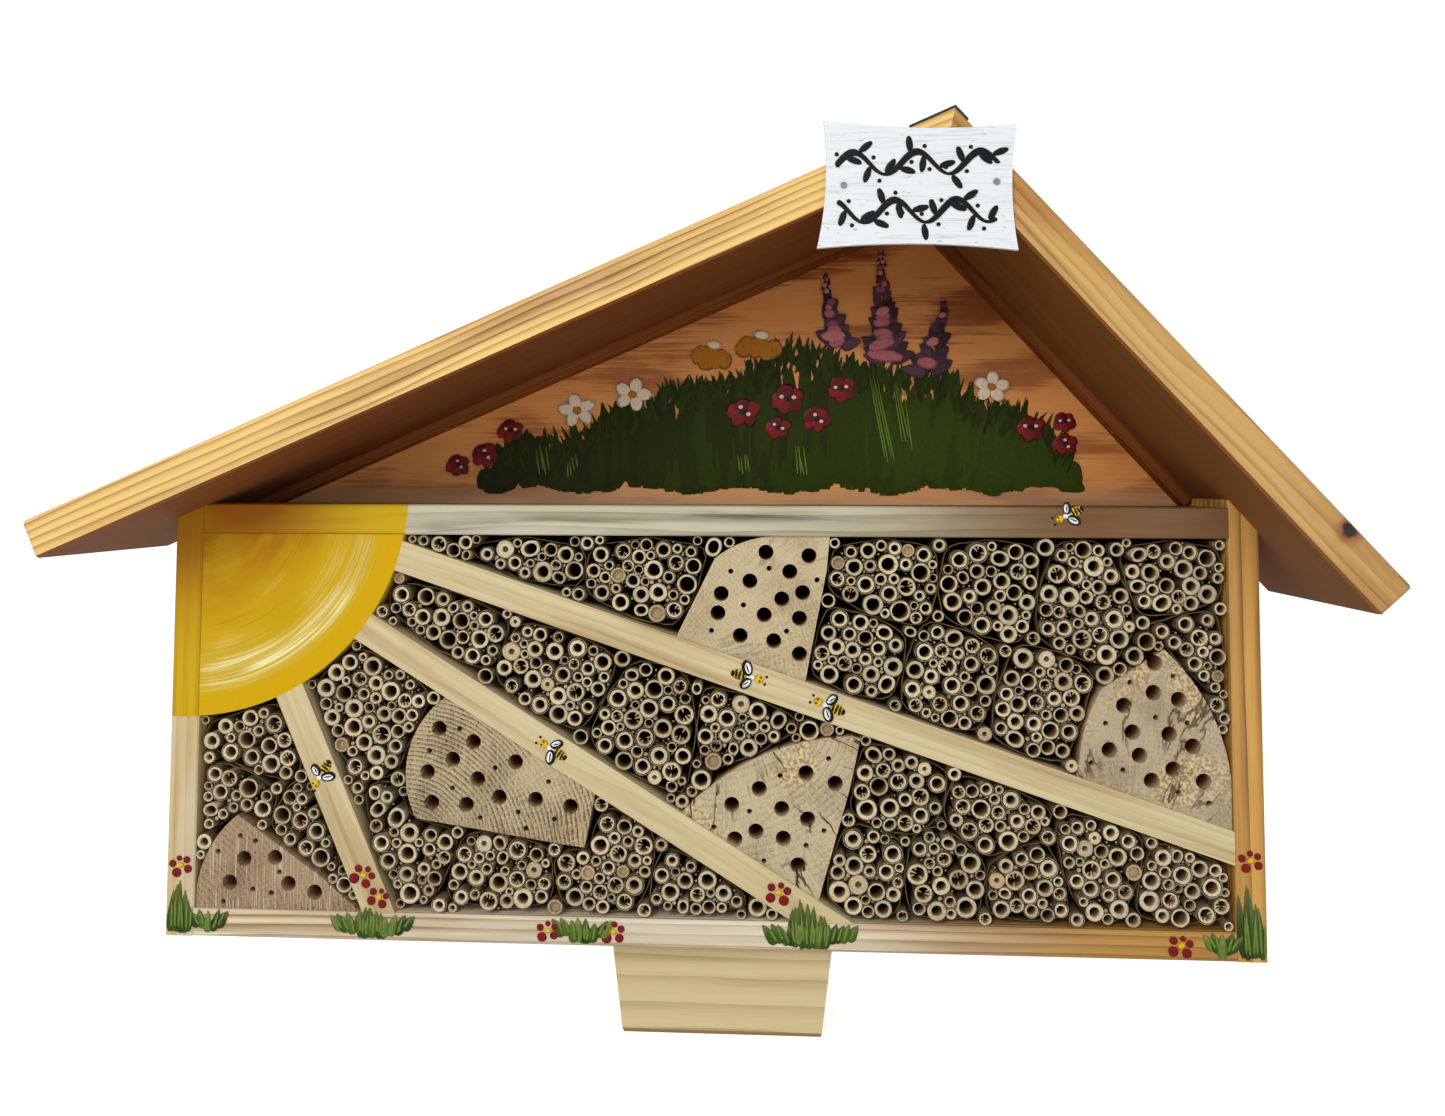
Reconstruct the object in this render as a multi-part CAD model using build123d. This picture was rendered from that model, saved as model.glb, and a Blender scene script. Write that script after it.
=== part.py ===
from build123d import *
import math
import os
import random

import numpy as np

# Insect hotel: an open-fronted pine box under a lopsided two-board roof, packed with bundles of
# hollow reeds and drilled log pieces, with a quarter-disc sun and three slats as its rays.
# Layout frame: X right from the middle of the box, Y back from the box's front edges, Z up from
# the underside of the bottom board. Every piece is moved to the row's frame when it is written.

# Box
BOX_WIDTH = 680.0
BOX_DEPTH = 72.0
RAIL_TOP = 272.0
SIDE_THICKNESS = 18.0
BOTTOM_THICKNESS = 17.0
RAIL_THICKNESS = 19.0
PANEL_THICKNESS = 8.0
BOARD_CHAMFER = 0.8

# Roof
RIDGE_X = 149.0
RIDGE_Z = 503.5
LEFT_PITCH = 23.7
RIGHT_PITCH = 47.8
LEFT_SLOPE = 601.0
RIGHT_SLOPE = 370.0
ROOF_THICKNESS = 24.0
ROOF_DEPTH = 140.0
ROOF_OVERHANG = 60.0
ROOF_CHAMFER = 1.5
BATTEN_THICKNESS = 7.0
BATTEN_WIDTH = 14.0
BATTEN_START = 12.0
FELT_THICKNESS = 1.5
FELT_LEFT_LEG = 28.0
FELT_RIGHT_LEG = 10.0

# Sun and its rays: a point on each ray's centre line, and the line's slope in degrees
SUN_CENTRE = (-330.0, 278.0)
SUN_RADIUS = 141.0
SUN_THICKNESS = 18.0
RAY_WIDTH = 19.0
RAY_DEPTH = 70.0
RAYS = {
    "ray_long": ((85.0, 146.0), -18.5),
    "ray_middle": ((-89.0, 117.0), -31.4),
    "ray_short": ((-233.0, 85.0), -66.2),
}

# Drilled log pieces
LOG_FRONT = 2.0
LOG_DEPTH = 68.0
BIG_HOLE = 9.5
BIG_HOLE_DEPTH = 55.0
SMALL_HOLE = 3.3
SMALL_HOLE_DEPTH = 40.0
LOG_SIDES = 90

# Each outline is a start point and its legs: one point makes a straight leg, two make an arc.
LOG_OUTLINES = {
    "log_top": (
        (-20, 184),
        [[(7, 239)], [(22, 248), (45, 253)], [(79, 253)], [(77, 232)], [(62, 155)]],
    ),
    "log_right": (
        (227, 100),
        [[(231, 118)], [(236, 142), (245, 161)], [(283, 185)], [(306, 156), (321.5, 106)], [(321.5, 68)]],
    ),
    "log_centre": (
        (-18, 76),
        [[(36, 117), (98, 130)], [(91, 98)], [(70, 24)]],
    ),
    "log_left": (
        (-158, 154),
        [[(-186, 118), (-181, 75)], [(-89, 61)], [(-74, 59)], [(-66, 100)]],
    ),
    "log_corner": (
        (-321.5, 17),
        [[(-316, 49), (-296, 75)], [(-243, 39)], [(-216, 17)]],
    ),
}
BIG_HOLES = {
    "log_top": [
        (39, 243), (66, 241), (54, 231), (29, 225), (11, 217), (62, 218), (49, 214),
        (9, 205), (38, 204), (60, 202), (23, 191), (44, 188), (60, 180),
    ],
    "log_right": [
        (277, 177), (276, 159), (291, 155), (258, 151), (263, 135), (285, 134), (299, 127),
        (249, 124), (267, 121), (287, 113), (274, 106), (305, 106),
    ],
    "log_centre": [
        (64, 107), (82, 101), (35, 97), (18, 87), (49, 85), (65, 79), (33, 71), (20, 66),
        (50, 67), (59, 51),
    ],
    "log_left": [
        (-167, 131), (-145, 123), (-158, 112), (-118, 111), (-174, 104), (-142, 100),
        (-128, 89), (-105, 88), (-171, 85), (-149, 84), (-83, 84),
    ],
    "log_corner": [(-291, 48), (-271, 49), (-300, 33), (-262, 33), (-245, 28)],
}
SMALL_HOLES = {
    "log_top": [(17, 231), (41, 233), (71, 226), (25, 210), (5, 194), (52, 194)],
    "log_right": [
        (262, 165), (288, 169), (247, 140), (277, 144), (296, 141), (238, 116), (257, 112),
        (290, 99), (308, 93),
    ],
    "log_centre": [(78, 116), (48, 105), (29, 83), (75, 72), (64, 63), (7, 73), (38, 53)],
    "log_left": [
        (-154, 131), (-173, 117), (-131, 107), (-158, 94), (-97, 99), (-116, 80),
        (-140, 76), (-111, 70), (-93, 76),
    ],
    "log_corner": [(-294, 62), (-284, 59), (-308, 52), (-268, 40), (-285, 29), (-273, 27), (-304, 21)],
}

# Reeds: bundles are counted per compartment, from above the long ray round to below the short one
BUNDLES = [10, 11, 5, 3]
REED_FRONT = 3.0
REED_LENGTH = 66.0
REED_SETBACK = 2.0
REED_END_WALL = 3.0
REED_GAP = 0.15
MIN_REED_RADIUS = 2.6
REED_RADII = (3.2, 6.6, 5.6)
WRAP_FRONT = 7.0
WRAP_LENGTH = 40.0
WRAP_THICKNESS = 0.6
REED_SEED = 18
WRAP_GAP = 1.0
WRAP_SIDES = 40
LOOKS_PER_SIDE = 4

# Foot
FOOT_X = 11.5
FOOT_Y = 40.0
FOOT_TOP_WIDTH = 139.0
FOOT_BOTTOM_WIDTH = 124.0
FOOT_HEIGHT = 60.0
FOOT_DEPTH = 50.0
FOOT_CHAMFER = 4.0

# Sign
SIGN_THICKNESS = 3.0
SIGN_CORNERS = [(69, 421), (183.5, 419), (183.5, 492), (73, 495.5)]
SIGN_HOLLOW = 3.2
SIGN_NAILS = [(84.5, 457.5), (171.5, 458.5)]

# Fasteners
SCREW_RADIUS = 1.75
SCREW_HEAD_RADIUS = 3.5
SCREW_HEAD_HEIGHT = 2.5
NAIL_RADIUS = 0.8
NAIL_HEAD_RADIUS = 1.9
NAIL_HEAD_HEIGHT = 0.8
DOWEL_RADIUS = 3.0
DOWEL_LENGTH = 24.0
SCREW_ROWS_Y = (18.0, 54.0)
FRAME_SCREW_LENGTH = 45.0
SIDE_SCREW_LENGTH = 36.0
RAY_SCREW_LENGTH = 32.0
SUN_SCREWS_X = (-285.0, -220.0)
SUN_SCREWS_Z = (225.0, 165.0)
PANEL_SCREW_LENGTH = 25.0
PANEL_SCREWS_X = (-220.0, 0.0, 220.0)
PANEL_SCREWS_Z = (30.0, 135.0, 225.0)
FOOT_SCREW_LENGTH = 50.0
FOOT_SCREW_PLACES = (35.0, 14.0)
DOWEL_ROWS_Y = (30.0, 42.0)
DOWEL_HEIGHT = 7.0
MITRE_DOWEL_DEPTH = 14.0
MITRE_DOWELS_Y = (-25.0, 45.0)
NAIL_LENGTH = 25.0
BATTEN_NAIL_LENGTH = 20.0
LEFT_BATTEN_NAILS = (60.0, 210.0, 360.0)
RIGHT_BATTEN_NAILS = (50.0, 200.0)

# Derived places
HALF_WIDTH = BOX_WIDTH / 2
INNER_X = HALF_WIDTH - SIDE_THICKNESS
INNER_TOP = RAIL_TOP - RAIL_THICKNESS
INNER_BOTTOM = BOTTOM_THICKNESS
BACK_Y = BOX_DEPTH + PANEL_THICKNESS
ROOF_FRONT = -ROOF_OVERHANG
DATUM = Pos(-FOOT_X, -FOOT_Y, FOOT_HEIGHT)


def direction(angle):
    """Unit vector in the front plane, measured in degrees up from +X."""
    return Vector(math.cos(math.radians(angle)), math.sin(math.radians(angle)))


# The roof's own directions: down each slope, into each board, and down the mitre between them
RIDGE = Vector(RIDGE_X, RIDGE_Z)
DOWN_LEFT = direction(180 + LEFT_PITCH)
DOWN_RIGHT = direction(-RIGHT_PITCH)
INTO_LEFT = direction(LEFT_PITCH - 90)
INTO_RIGHT = direction(-90 - RIGHT_PITCH)
DOWN_MITRE = (DOWN_LEFT + DOWN_RIGHT).normalized()
HALF_RIDGE_ANGLE = math.radians((180 - LEFT_PITCH - RIGHT_PITCH) / 2)
INNER_RIDGE = RIDGE + DOWN_MITRE * (ROOF_THICKNESS / math.sin(HALF_RIDGE_ANGLE))


def lift(face, front, depth):
    """Solid from a face drawn in the front plane, reaching back from front by depth."""
    back_plane = Plane.XZ.offset(-(front + depth))
    return extrude(back_plane * face, depth, dir=(0, -1, 0))


def prism(points, front, depth):
    """Straight-sided solid with the given outline in the front plane."""
    return lift(make_face(Polyline(*points, close=True)), front, depth)


def board(low, high):
    """Square-cut board between two corners, with its long arrises taken off."""
    size = [h - l for l, h in zip(low, high)]
    middle = [(h + l) / 2 for l, h in zip(low, high)]
    blank = Pos(*middle) * Box(*size)
    long_axis = [Axis.X, Axis.Y, Axis.Z][size.index(max(size))]
    return chamfer(blank.edges().filter_by(long_axis), BOARD_CHAMFER)


def at_depth(point, y):
    """Point of the front plane, moved back to the given depth."""
    return Vector(point[0], y, point[1])


def flat(vector):
    """Front-plane vector as a direction in space."""
    return Vector(vector.X, 0, vector.Y)


def screw(tip_of_head, along, length):
    """Countersunk screw whose flat head starts at a point and whose shank runs along a direction."""
    head = Cone(
        SCREW_HEAD_RADIUS, SCREW_RADIUS, SCREW_HEAD_HEIGHT,
        align=(Align.CENTER, Align.CENTER, Align.MIN),
    )
    shank = Cylinder(SCREW_RADIUS, length, align=(Align.CENTER, Align.CENTER, Align.MIN))
    return Plane(origin=tip_of_head, z_dir=along) * (head + shank)


def nail(tip_of_head, along, length):
    """Round-headed nail whose head starts at a point and whose shank runs along a direction."""
    head = Cylinder(NAIL_HEAD_RADIUS, NAIL_HEAD_HEIGHT, align=(Align.CENTER, Align.CENTER, Align.MIN))
    shank = Cylinder(NAIL_RADIUS, length, align=(Align.CENTER, Align.CENTER, Align.MIN))
    return Plane(origin=tip_of_head, z_dir=along) * (head + shank)


def dowel(middle, along):
    """Plain round dowel centred on a point."""
    return Plane(origin=middle, z_dir=along) * Cylinder(DOWEL_RADIUS, DOWEL_LENGTH)


def roof_underside(x):
    """Height of the roof's underside above the bottom edge of the box."""
    drop = ROOF_THICKNESS / math.cos(math.radians(LEFT_PITCH))
    left = RIDGE_Z - drop - (RIDGE_X - x) * math.tan(math.radians(LEFT_PITCH))
    drop = ROOF_THICKNESS / math.cos(math.radians(RIGHT_PITCH))
    right = RIDGE_Z - drop - (x - RIDGE_X) * math.tan(math.radians(RIGHT_PITCH))
    return min(left, right)


# ---------------------------------------------------------------- box and back panel

def side_board(side):
    """Upright side board, its top cut to the roof's slope."""
    outer = side * HALF_WIDTH
    inner = side * INNER_X
    blank = board((min(outer, inner), 0, 0), (max(outer, inner), BOX_DEPTH, RIDGE_Z))
    above = RIDGE_Z + 1
    top = [(outer, roof_underside(outer)), (inner, roof_underside(inner)), (inner, above), (outer, above)]
    return blank - prism(top, -1, BOX_DEPTH + 2)


def top_rail():
    """Rail between the side boards; its left corner is eased to clear the roof."""
    blank = board((-INNER_X, 0, INNER_TOP), (INNER_X, BOX_DEPTH, RAIL_TOP))
    start = -INNER_X - 1
    end = -INNER_X + RAIL_THICKNESS
    ease = [(start, roof_underside(start)), (end, roof_underside(end)), (start, roof_underside(end))]
    return blank - prism(ease, -1, BOX_DEPTH + 2)


def bottom_board():
    return board((-INNER_X, 0, 0), (INNER_X, BOX_DEPTH, BOTTOM_THICKNESS))


def back_panel():
    """One plywood sheet that closes the box and fills the gable above it."""
    points = [
        (-HALF_WIDTH, 0),
        (HALF_WIDTH, 0),
        (HALF_WIDTH, roof_underside(HALF_WIDTH)),
        (INNER_RIDGE.X, INNER_RIDGE.Y),
        (-HALF_WIDTH, roof_underside(-HALF_WIDTH)),
    ]
    return prism(points, BOX_DEPTH, PANEL_THICKNESS)


# ---------------------------------------------------------------- roof

def roof_board(down, into, slope):
    """Roof board, mitred at the ridge and square at the eave."""
    eave = RIDGE + down * slope
    under_eave = eave + into * ROOF_THICKNESS
    blank = prism([RIDGE, eave, under_eave, INNER_RIDGE], ROOF_FRONT, ROOF_DEPTH)
    mitre_middle = (RIDGE + INNER_RIDGE) * 0.5
    worn = [edge for edge in blank.edges() if not near_mitre(edge, mitre_middle)]
    return chamfer(worn, ROOF_CHAMFER)


def near_mitre(edge, mitre_middle):
    """True for the edges of the mitred end, which stay sharp so that the joint closes."""
    centre = edge.center()
    reach = math.hypot(centre.X - mitre_middle.X, centre.Z - mitre_middle.Y)
    return reach < ROOF_THICKNESS


def gable_batten(down, into, x_limit):
    """Cover strip under a roof board, in front of the gable panel."""
    start = INNER_RIDGE + down * BATTEN_START
    run = abs((x_limit - start.X) / down.X)
    end = start + down * run
    points = [start, end, end + into * BATTEN_THICKNESS, start + into * BATTEN_THICKNESS]
    strip = prism(points, BOX_DEPTH - BATTEN_WIDTH, BATTEN_WIDTH)
    above_rail = Pos(0, BOX_DEPTH / 2, RAIL_TOP + RIDGE_Z / 2) * Box(2 * BOX_WIDTH, 2 * BOX_DEPTH, RIDGE_Z)
    return strip & above_rail


def ridge_strip():
    """Strip of black roofing felt folded over the ridge, held by the glue under it."""
    outer_ridge = RIDGE - DOWN_MITRE * (FELT_THICKNESS / math.sin(HALF_RIDGE_ANGLE))
    left = RIDGE + DOWN_LEFT * FELT_LEFT_LEG
    right = RIDGE + DOWN_RIGHT * FELT_RIGHT_LEG
    points = [
        RIDGE, left, left - INTO_LEFT * FELT_THICKNESS,
        outer_ridge, right - INTO_RIGHT * FELT_THICKNESS, right,
    ]
    inset = ROOF_CHAMFER
    return prism(points, ROOF_FRONT + inset, ROOF_DEPTH - 2 * inset)


# ---------------------------------------------------------------- sun, rays and log pieces

def interior_face():
    """The box's opening, as a face in the front plane."""
    height = INNER_TOP - INNER_BOTTOM
    return Pos(0, INNER_BOTTOM + height / 2) * Rectangle(2 * INNER_X, height)


def sun_face():
    return interior_face() & Pos(*SUN_CENTRE) * Circle(SUN_RADIUS)


def ray_band(name):
    """Endless strip as wide as a ray, along its centre line."""
    point, slope = RAYS[name]
    return Pos(*point) * Rot(0, 0, slope) * Rectangle(3 * BOX_WIDTH, RAY_WIDTH)


def ray(name):
    face = (interior_face() & ray_band(name)) - Pos(*SUN_CENTRE) * Circle(SUN_RADIUS)
    return lift(face, 0, RAY_DEPTH)


def log_wire(name):
    """Closed outline of a log piece, from its straight and round legs."""
    start, legs = LOG_OUTLINES[name]
    edges = []
    here = start
    for leg in legs:
        if len(leg) == 1:
            edges.append(Line(here, leg[0]))
        else:
            edges.append(ThreePointArc(here, leg[0], leg[1]))
        here = leg[-1]
    edges.append(Line(here, start))
    return Wire([part.edge() for part in edges])


def log_face(name):
    """Log outline, trimmed where it sits against the rays and the box."""
    face = Face(log_wire(name)) & interior_face()
    for ray_name in RAYS:
        face = face - ray_band(ray_name)
    return face


def log_piece(name):
    blank = lift(log_face(name), LOG_FRONT, LOG_DEPTH)
    sizes = [(BIG_HOLES[name], BIG_HOLE, BIG_HOLE_DEPTH), (SMALL_HOLES[name], SMALL_HOLE, SMALL_HOLE_DEPTH)]
    for places, width, depth in sizes:
        drills = [lift(Pos(*place) * Circle(width / 2), LOG_FRONT, depth) for place in places]
        blank = blank - drills
    return blank


# ---------------------------------------------------------------- reeds

def ring_of(wire, count):
    """Evenly spaced points round a closed wire."""
    points = [wire @ (step / count) for step in range(count)]
    return np.array([(point.X, point.Y) for point in points])


def inside(ring, x, z):
    """True where the points lie inside the closed ring."""
    hits = np.zeros(x.shape, dtype=bool)
    for (x0, z0), (x1, z1) in zip(ring, np.roll(ring, -1, axis=0)):
        if z0 != z1:
            crossing = (z0 > z) != (z1 > z)
            hits ^= crossing & (x < x0 + (z - z0) * (x1 - x0) / (z1 - z0))
    return hits


def edge_distance(ring, x, z):
    """Distance from each point to the closed ring."""
    nearest = np.full(x.shape, np.inf)
    for (x0, z0), (x1, z1) in zip(ring, np.roll(ring, -1, axis=0)):
        run = (x1 - x0) ** 2 + (z1 - z0) ** 2
        along = np.clip(((x - x0) * (x1 - x0) + (z - z0) * (z1 - z0)) / run, 0, 1)
        gap = np.hypot(x - x0 - along * (x1 - x0), z - z0 - along * (z1 - z0))
        nearest = np.minimum(nearest, gap)
    return nearest


def inside_distance(ring, x, z):
    """Distance to the ring from points inside it, and -1 for the others."""
    return np.where(inside(ring, x, z), edge_distance(ring, x, z), -1)


def outside_distance(ring, x, z):
    """Distance to the ring from points outside it, and -1 for the others."""
    return np.where(inside(ring, x, z), -1, edge_distance(ring, x, z))


def ray_side(name, x, z):
    """Signed distance from a ray's centre line, positive above or to the right of it."""
    (px, pz), slope = RAYS[name]
    tilt = math.radians(slope)
    return (z - pz) * math.cos(tilt) - (x - px) * math.sin(tilt)


def clearance(x, z):
    """Distance from each point of the opening to the nearest board, ray, sun or log piece."""
    room = np.minimum(INNER_X - abs(x), np.minimum(z - INNER_BOTTOM, INNER_TOP - z))
    room = np.minimum(room, np.hypot(x - SUN_CENTRE[0], z - SUN_CENTRE[1]) - SUN_RADIUS)
    for name in RAYS:
        room = np.minimum(room, abs(ray_side(name, x, z)) - RAY_WIDTH / 2)
    for name in LOG_OUTLINES:
        room = np.minimum(room, outside_distance(ring_of(log_wire(name), LOG_SIDES), x, z))
    return room


def share_out(x, z, count, chance):
    """Split points among bundles of about equal size, and return each point's bundle number."""
    picked = chance.sample(range(len(x)), count)
    middles = np.array([(x[i], z[i]) for i in picked])
    for _ in range(40):
        nearest = np.argmin([np.hypot(x - mx, z - mz) for mx, mz in middles], axis=0)
        middles = np.array([(x[nearest == i].mean(), z[nearest == i].mean()) for i in range(count)])
    return nearest, middles


def bundle_outline(middle, owned):
    """Ring round a bundle: as far as its own space reaches on every side, with rounded corners."""
    looks = 2 * math.pi * np.arange(WRAP_SIDES * LOOKS_PER_SIDE) / (WRAP_SIDES * LOOKS_PER_SIDE)
    reach = np.array([own_reach(middle, angle, owned) for angle in looks])
    nearby = [np.roll(reach, shift) for shift in range(-LOOKS_PER_SIDE, LOOKS_PER_SIDE + 1)]
    tight = np.min(nearby, axis=0)[::LOOKS_PER_SIDE]
    smooth = (np.roll(tight, 1) + 2 * tight + np.roll(tight, -1)) / 4
    angles = looks[::LOOKS_PER_SIDE]
    reach = np.minimum(smooth, tight)
    return np.stack([middle[0] + reach * np.cos(angles), middle[1] + reach * np.sin(angles)], axis=1)


def own_reach(middle, angle, owned):
    """How far a bundle's own space goes from its middle, on a grid of one point a millimetre."""
    reach = 1.0
    while owned[
        round(middle[1] + reach * math.sin(angle) - INNER_BOTTOM),
        round(middle[0] + reach * math.cos(angle) + INNER_X),
    ]:
        reach += 0.5
    return reach


def grid(low, high, pitch):
    """Even grid of points between two corners."""
    return np.meshgrid(np.arange(low[0], high[0] + pitch, pitch), np.arange(low[1], high[1] + pitch, pitch))


def pack_reeds(x, z, room, chance):
    """Circles that fill the points with room: each new reed goes where it fits most tightly."""
    usable = room >= MIN_REED_RADIUS
    x, z, room = x[usable], z[usable], room[usable] - REED_GAP
    reeds = []
    while room.size and room.max() >= MIN_REED_RADIUS:
        radius = min(chance.triangular(*REED_RADII), room.max())
        spot = int(np.argmin(np.where(room >= radius, room, np.inf)))
        reeds.append((x[spot], z[spot], radius))
        away = np.hypot(x - x[spot], z - z[spot]) - radius - REED_GAP
        room = np.minimum(room, away)
    return reeds


def reed(x, z, radius, chance):
    """Hollow reed, open at the front and closed by its own knot at the back."""
    bore = radius * chance.uniform(0.60, 0.74)
    front = REED_FRONT + chance.uniform(-REED_SETBACK, REED_SETBACK)
    length = REED_FRONT + REED_LENGTH - front
    profile = Polyline(
        (0, 0), (radius, 0), (radius, length), (bore, length),
        (bore, REED_END_WALL), (0, REED_END_WALL), close=True,
    )
    tube = revolve(Plane.XZ * make_face(profile), Axis.Z)
    back = Plane(origin=(x, REED_FRONT + REED_LENGTH, z), z_dir=(0, -1, 0))
    return back * tube


def wrap(ring, middle):
    """Thin band of split leaf round one bundle."""
    centre = np.array(middle)
    reach = np.hypot(*(ring - centre).T)
    inner = centre + (ring - centre) * ((reach - WRAP_THICKNESS) / reach)[:, None]
    outline, hollow = (make_face(Polyline(*map(tuple, line), close=True)) for line in (ring, inner))
    return lift(outline - hollow, WRAP_FRONT, WRAP_LENGTH)


def bundle_rings(x, z, room, chance):
    """Middle and outline of every bundle, compartment by compartment."""
    compartment = sum((ray_side(name, x, z) < 0).astype(int) for name in RAYS)
    bundles = []
    for number, count in enumerate(BUNDLES):
        chosen = (room > WRAP_GAP) & (compartment == number)
        nearest, middles = share_out(x[chosen], z[chosen], count, chance)
        for index, middle in enumerate(middles):
            owned = np.zeros(x.shape, dtype=bool)
            owned[chosen] = nearest == index
            bundles.append((middle, bundle_outline(middle, owned)))
    return bundles


def reeds():
    """All reeds: a node for each wrapped bundle, one for the loose reeds between, one for the wraps."""
    chance = random.Random(REED_SEED)
    x, z = grid((-INNER_X, INNER_BOTTOM), (INNER_X, INNER_TOP), 1.0)
    room = clearance(x, z)
    bundles = bundle_rings(x, z, room, chance)
    nodes = {}
    for number, (middle, ring) in enumerate(bundles, start=1):
        fine_x, fine_z = grid(ring.min(axis=0), ring.max(axis=0), 0.5)
        fine_room = inside_distance(ring, fine_x, fine_z) - WRAP_THICKNESS
        places = pack_reeds(fine_x, fine_z, fine_room, chance)
        nodes[f"reed_bundle_{number:02d}"] = [reed(*place, chance) for place in places]
        room = np.minimum(room, outside_distance(ring, x, z))
    nodes["reeds_loose"] = [reed(*place, chance) for place in pack_reeds(x, z, room, chance)]
    nodes["bundle_wraps"] = [wrap(ring, middle) for middle, ring in bundles]
    return nodes


# ---------------------------------------------------------------- foot and sign

def foot_block():
    """Tapered block under the box, with its lower front arris planed off."""
    half_top = FOOT_TOP_WIDTH / 2
    half_bottom = FOOT_BOTTOM_WIDTH / 2
    points = [
        (FOOT_X - half_bottom, -FOOT_HEIGHT),
        (FOOT_X + half_bottom, -FOOT_HEIGHT),
        (FOOT_X + half_top, 0),
        (FOOT_X - half_top, 0),
    ]
    blank = prism(points, FOOT_Y - FOOT_DEPTH / 2, FOOT_DEPTH)
    lower_front = blank.edges().filter_by(Axis.X).group_by(Axis.Z)[0].sort_by(Axis.Y)[0]
    return chamfer(lower_front, FOOT_CHAMFER)


def sign_board():
    """Thin plywood name board with four hollow edges, nailed to the roof's front."""
    edges = []
    centre = sum((Vector(*corner) for corner in SIGN_CORNERS), Vector(0, 0)) * (1 / len(SIGN_CORNERS))
    for here, there in zip(SIGN_CORNERS, SIGN_CORNERS[1:] + SIGN_CORNERS[:1]):
        middle = (Vector(*here) + Vector(*there)) * 0.5
        middle = middle + (centre - middle).normalized() * SIGN_HOLLOW
        edges.append(ThreePointArc(here, middle, there).edge())
    return lift(Face(Wire(edges)), ROOF_FRONT - SIGN_THICKNESS, SIGN_THICKNESS)


# ---------------------------------------------------------------- fasteners

def frame_screws():
    """Screws through the side boards into the ends of the bottom board."""
    height = BOTTOM_THICKNESS / 2
    return [
        screw((side * HALF_WIDTH, y, height), (-side, 0, 0), FRAME_SCREW_LENGTH)
        for side in (-1, 1)
        for y in SCREW_ROWS_Y
    ]


def joint_dowels():
    """Dowels across the rail's two end joints and the mitre joint at the ridge."""
    height = INNER_TOP + DOWEL_HEIGHT
    dowels = [dowel((side * (INNER_X + 2), y, height), (1, 0, 0)) for side in (-1, 1) for y in DOWEL_ROWS_Y]
    middle = RIDGE + DOWN_MITRE * MITRE_DOWEL_DEPTH
    across = Vector(-DOWN_MITRE.Y, DOWN_MITRE.X)
    return dowels + [dowel(at_depth((middle.X, middle.Y), y), flat(across)) for y in MITRE_DOWELS_Y]


def roof_screws():
    """Screws square through the roof boards into the tops of the side boards."""
    screws = []
    for side, into in ((-1, INTO_LEFT), (1, INTO_RIGHT)):
        entry = side * (HALF_WIDTH - 5)
        under = Vector(entry, roof_underside(entry))
        top = under - into * ROOF_THICKNESS
        screws += [screw(at_depth((top.X, top.Y), y), flat(into), SIDE_SCREW_LENGTH) for y in SCREW_ROWS_Y]
    return screws


def ray_and_sun_screws():
    """Screws from outside the box into the far end of each ray and the sun's straight edges."""
    (x, z), slope = RAYS["ray_long"]
    end_z = z + (INNER_X - x) * math.tan(math.radians(slope)) - 1
    screws = [screw((HALF_WIDTH, y, end_z), (-1, 0, 0), SIDE_SCREW_LENGTH) for y in SCREW_ROWS_Y]
    for name in ("ray_middle", "ray_short"):
        (x, z), slope = RAYS[name]
        end_x = x + (INNER_BOTTOM + RAY_WIDTH / 2 - z) / math.tan(math.radians(slope))
        screws += [screw((end_x, y, 0), (0, 0, 1), RAY_SCREW_LENGTH) for y in SCREW_ROWS_Y]
    middle = SUN_THICKNESS / 2
    screws += [screw((x, middle, RAIL_TOP), (0, 0, -1), SIDE_SCREW_LENGTH) for x in SUN_SCREWS_X]
    screws += [screw((-HALF_WIDTH, middle, z), (1, 0, 0), SIDE_SCREW_LENGTH) for z in SUN_SCREWS_Z]
    return screws


def panel_screws():
    """Short countersunk screws from behind, through the back panel into the box."""
    side_x = HALF_WIDTH - SIDE_THICKNESS / 2
    places = [(side * side_x, z) for side in (-1, 1) for z in PANEL_SCREWS_Z]
    places += [(x, BOTTOM_THICKNESS / 2) for x in PANEL_SCREWS_X]
    places += [(x, RAIL_TOP - RAIL_THICKNESS / 2) for x in PANEL_SCREWS_X]
    return [screw((x, BACK_Y, z), (0, -1, 0), PANEL_SCREW_LENGTH) for x, z in places]


def batten_nails():
    """Nails up through the cover strips into the roof boards."""
    nails = []
    y = BOX_DEPTH - BATTEN_WIDTH / 2
    rows = ((DOWN_LEFT, INTO_LEFT, LEFT_BATTEN_NAILS), (DOWN_RIGHT, INTO_RIGHT, RIGHT_BATTEN_NAILS))
    for down, into, places in rows:
        for place in places:
            under = INNER_RIDGE + down * place + into * BATTEN_THICKNESS
            nails.append(nail(at_depth((under.X, under.Y), y), flat(into * -1), BATTEN_NAIL_LENGTH))
    return nails


def sign_nails():
    front = ROOF_FRONT - SIGN_THICKNESS - NAIL_HEAD_HEIGHT
    return [nail(at_depth(place, front), (0, 1, 0), NAIL_LENGTH) for place in SIGN_NAILS]


def foot_screws():
    """Screws down through the bottom board into the foot, clear of the ones that hold the rays."""
    out, back = FOOT_SCREW_PLACES
    return [
        screw((FOOT_X + side * out, FOOT_Y + row * back, BOTTOM_THICKNESS), (0, 0, -1), FOOT_SCREW_LENGTH)
        for side in (-1, 1)
        for row in (-1, 1)
    ]


# ---------------------------------------------------------------- assembly

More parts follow.
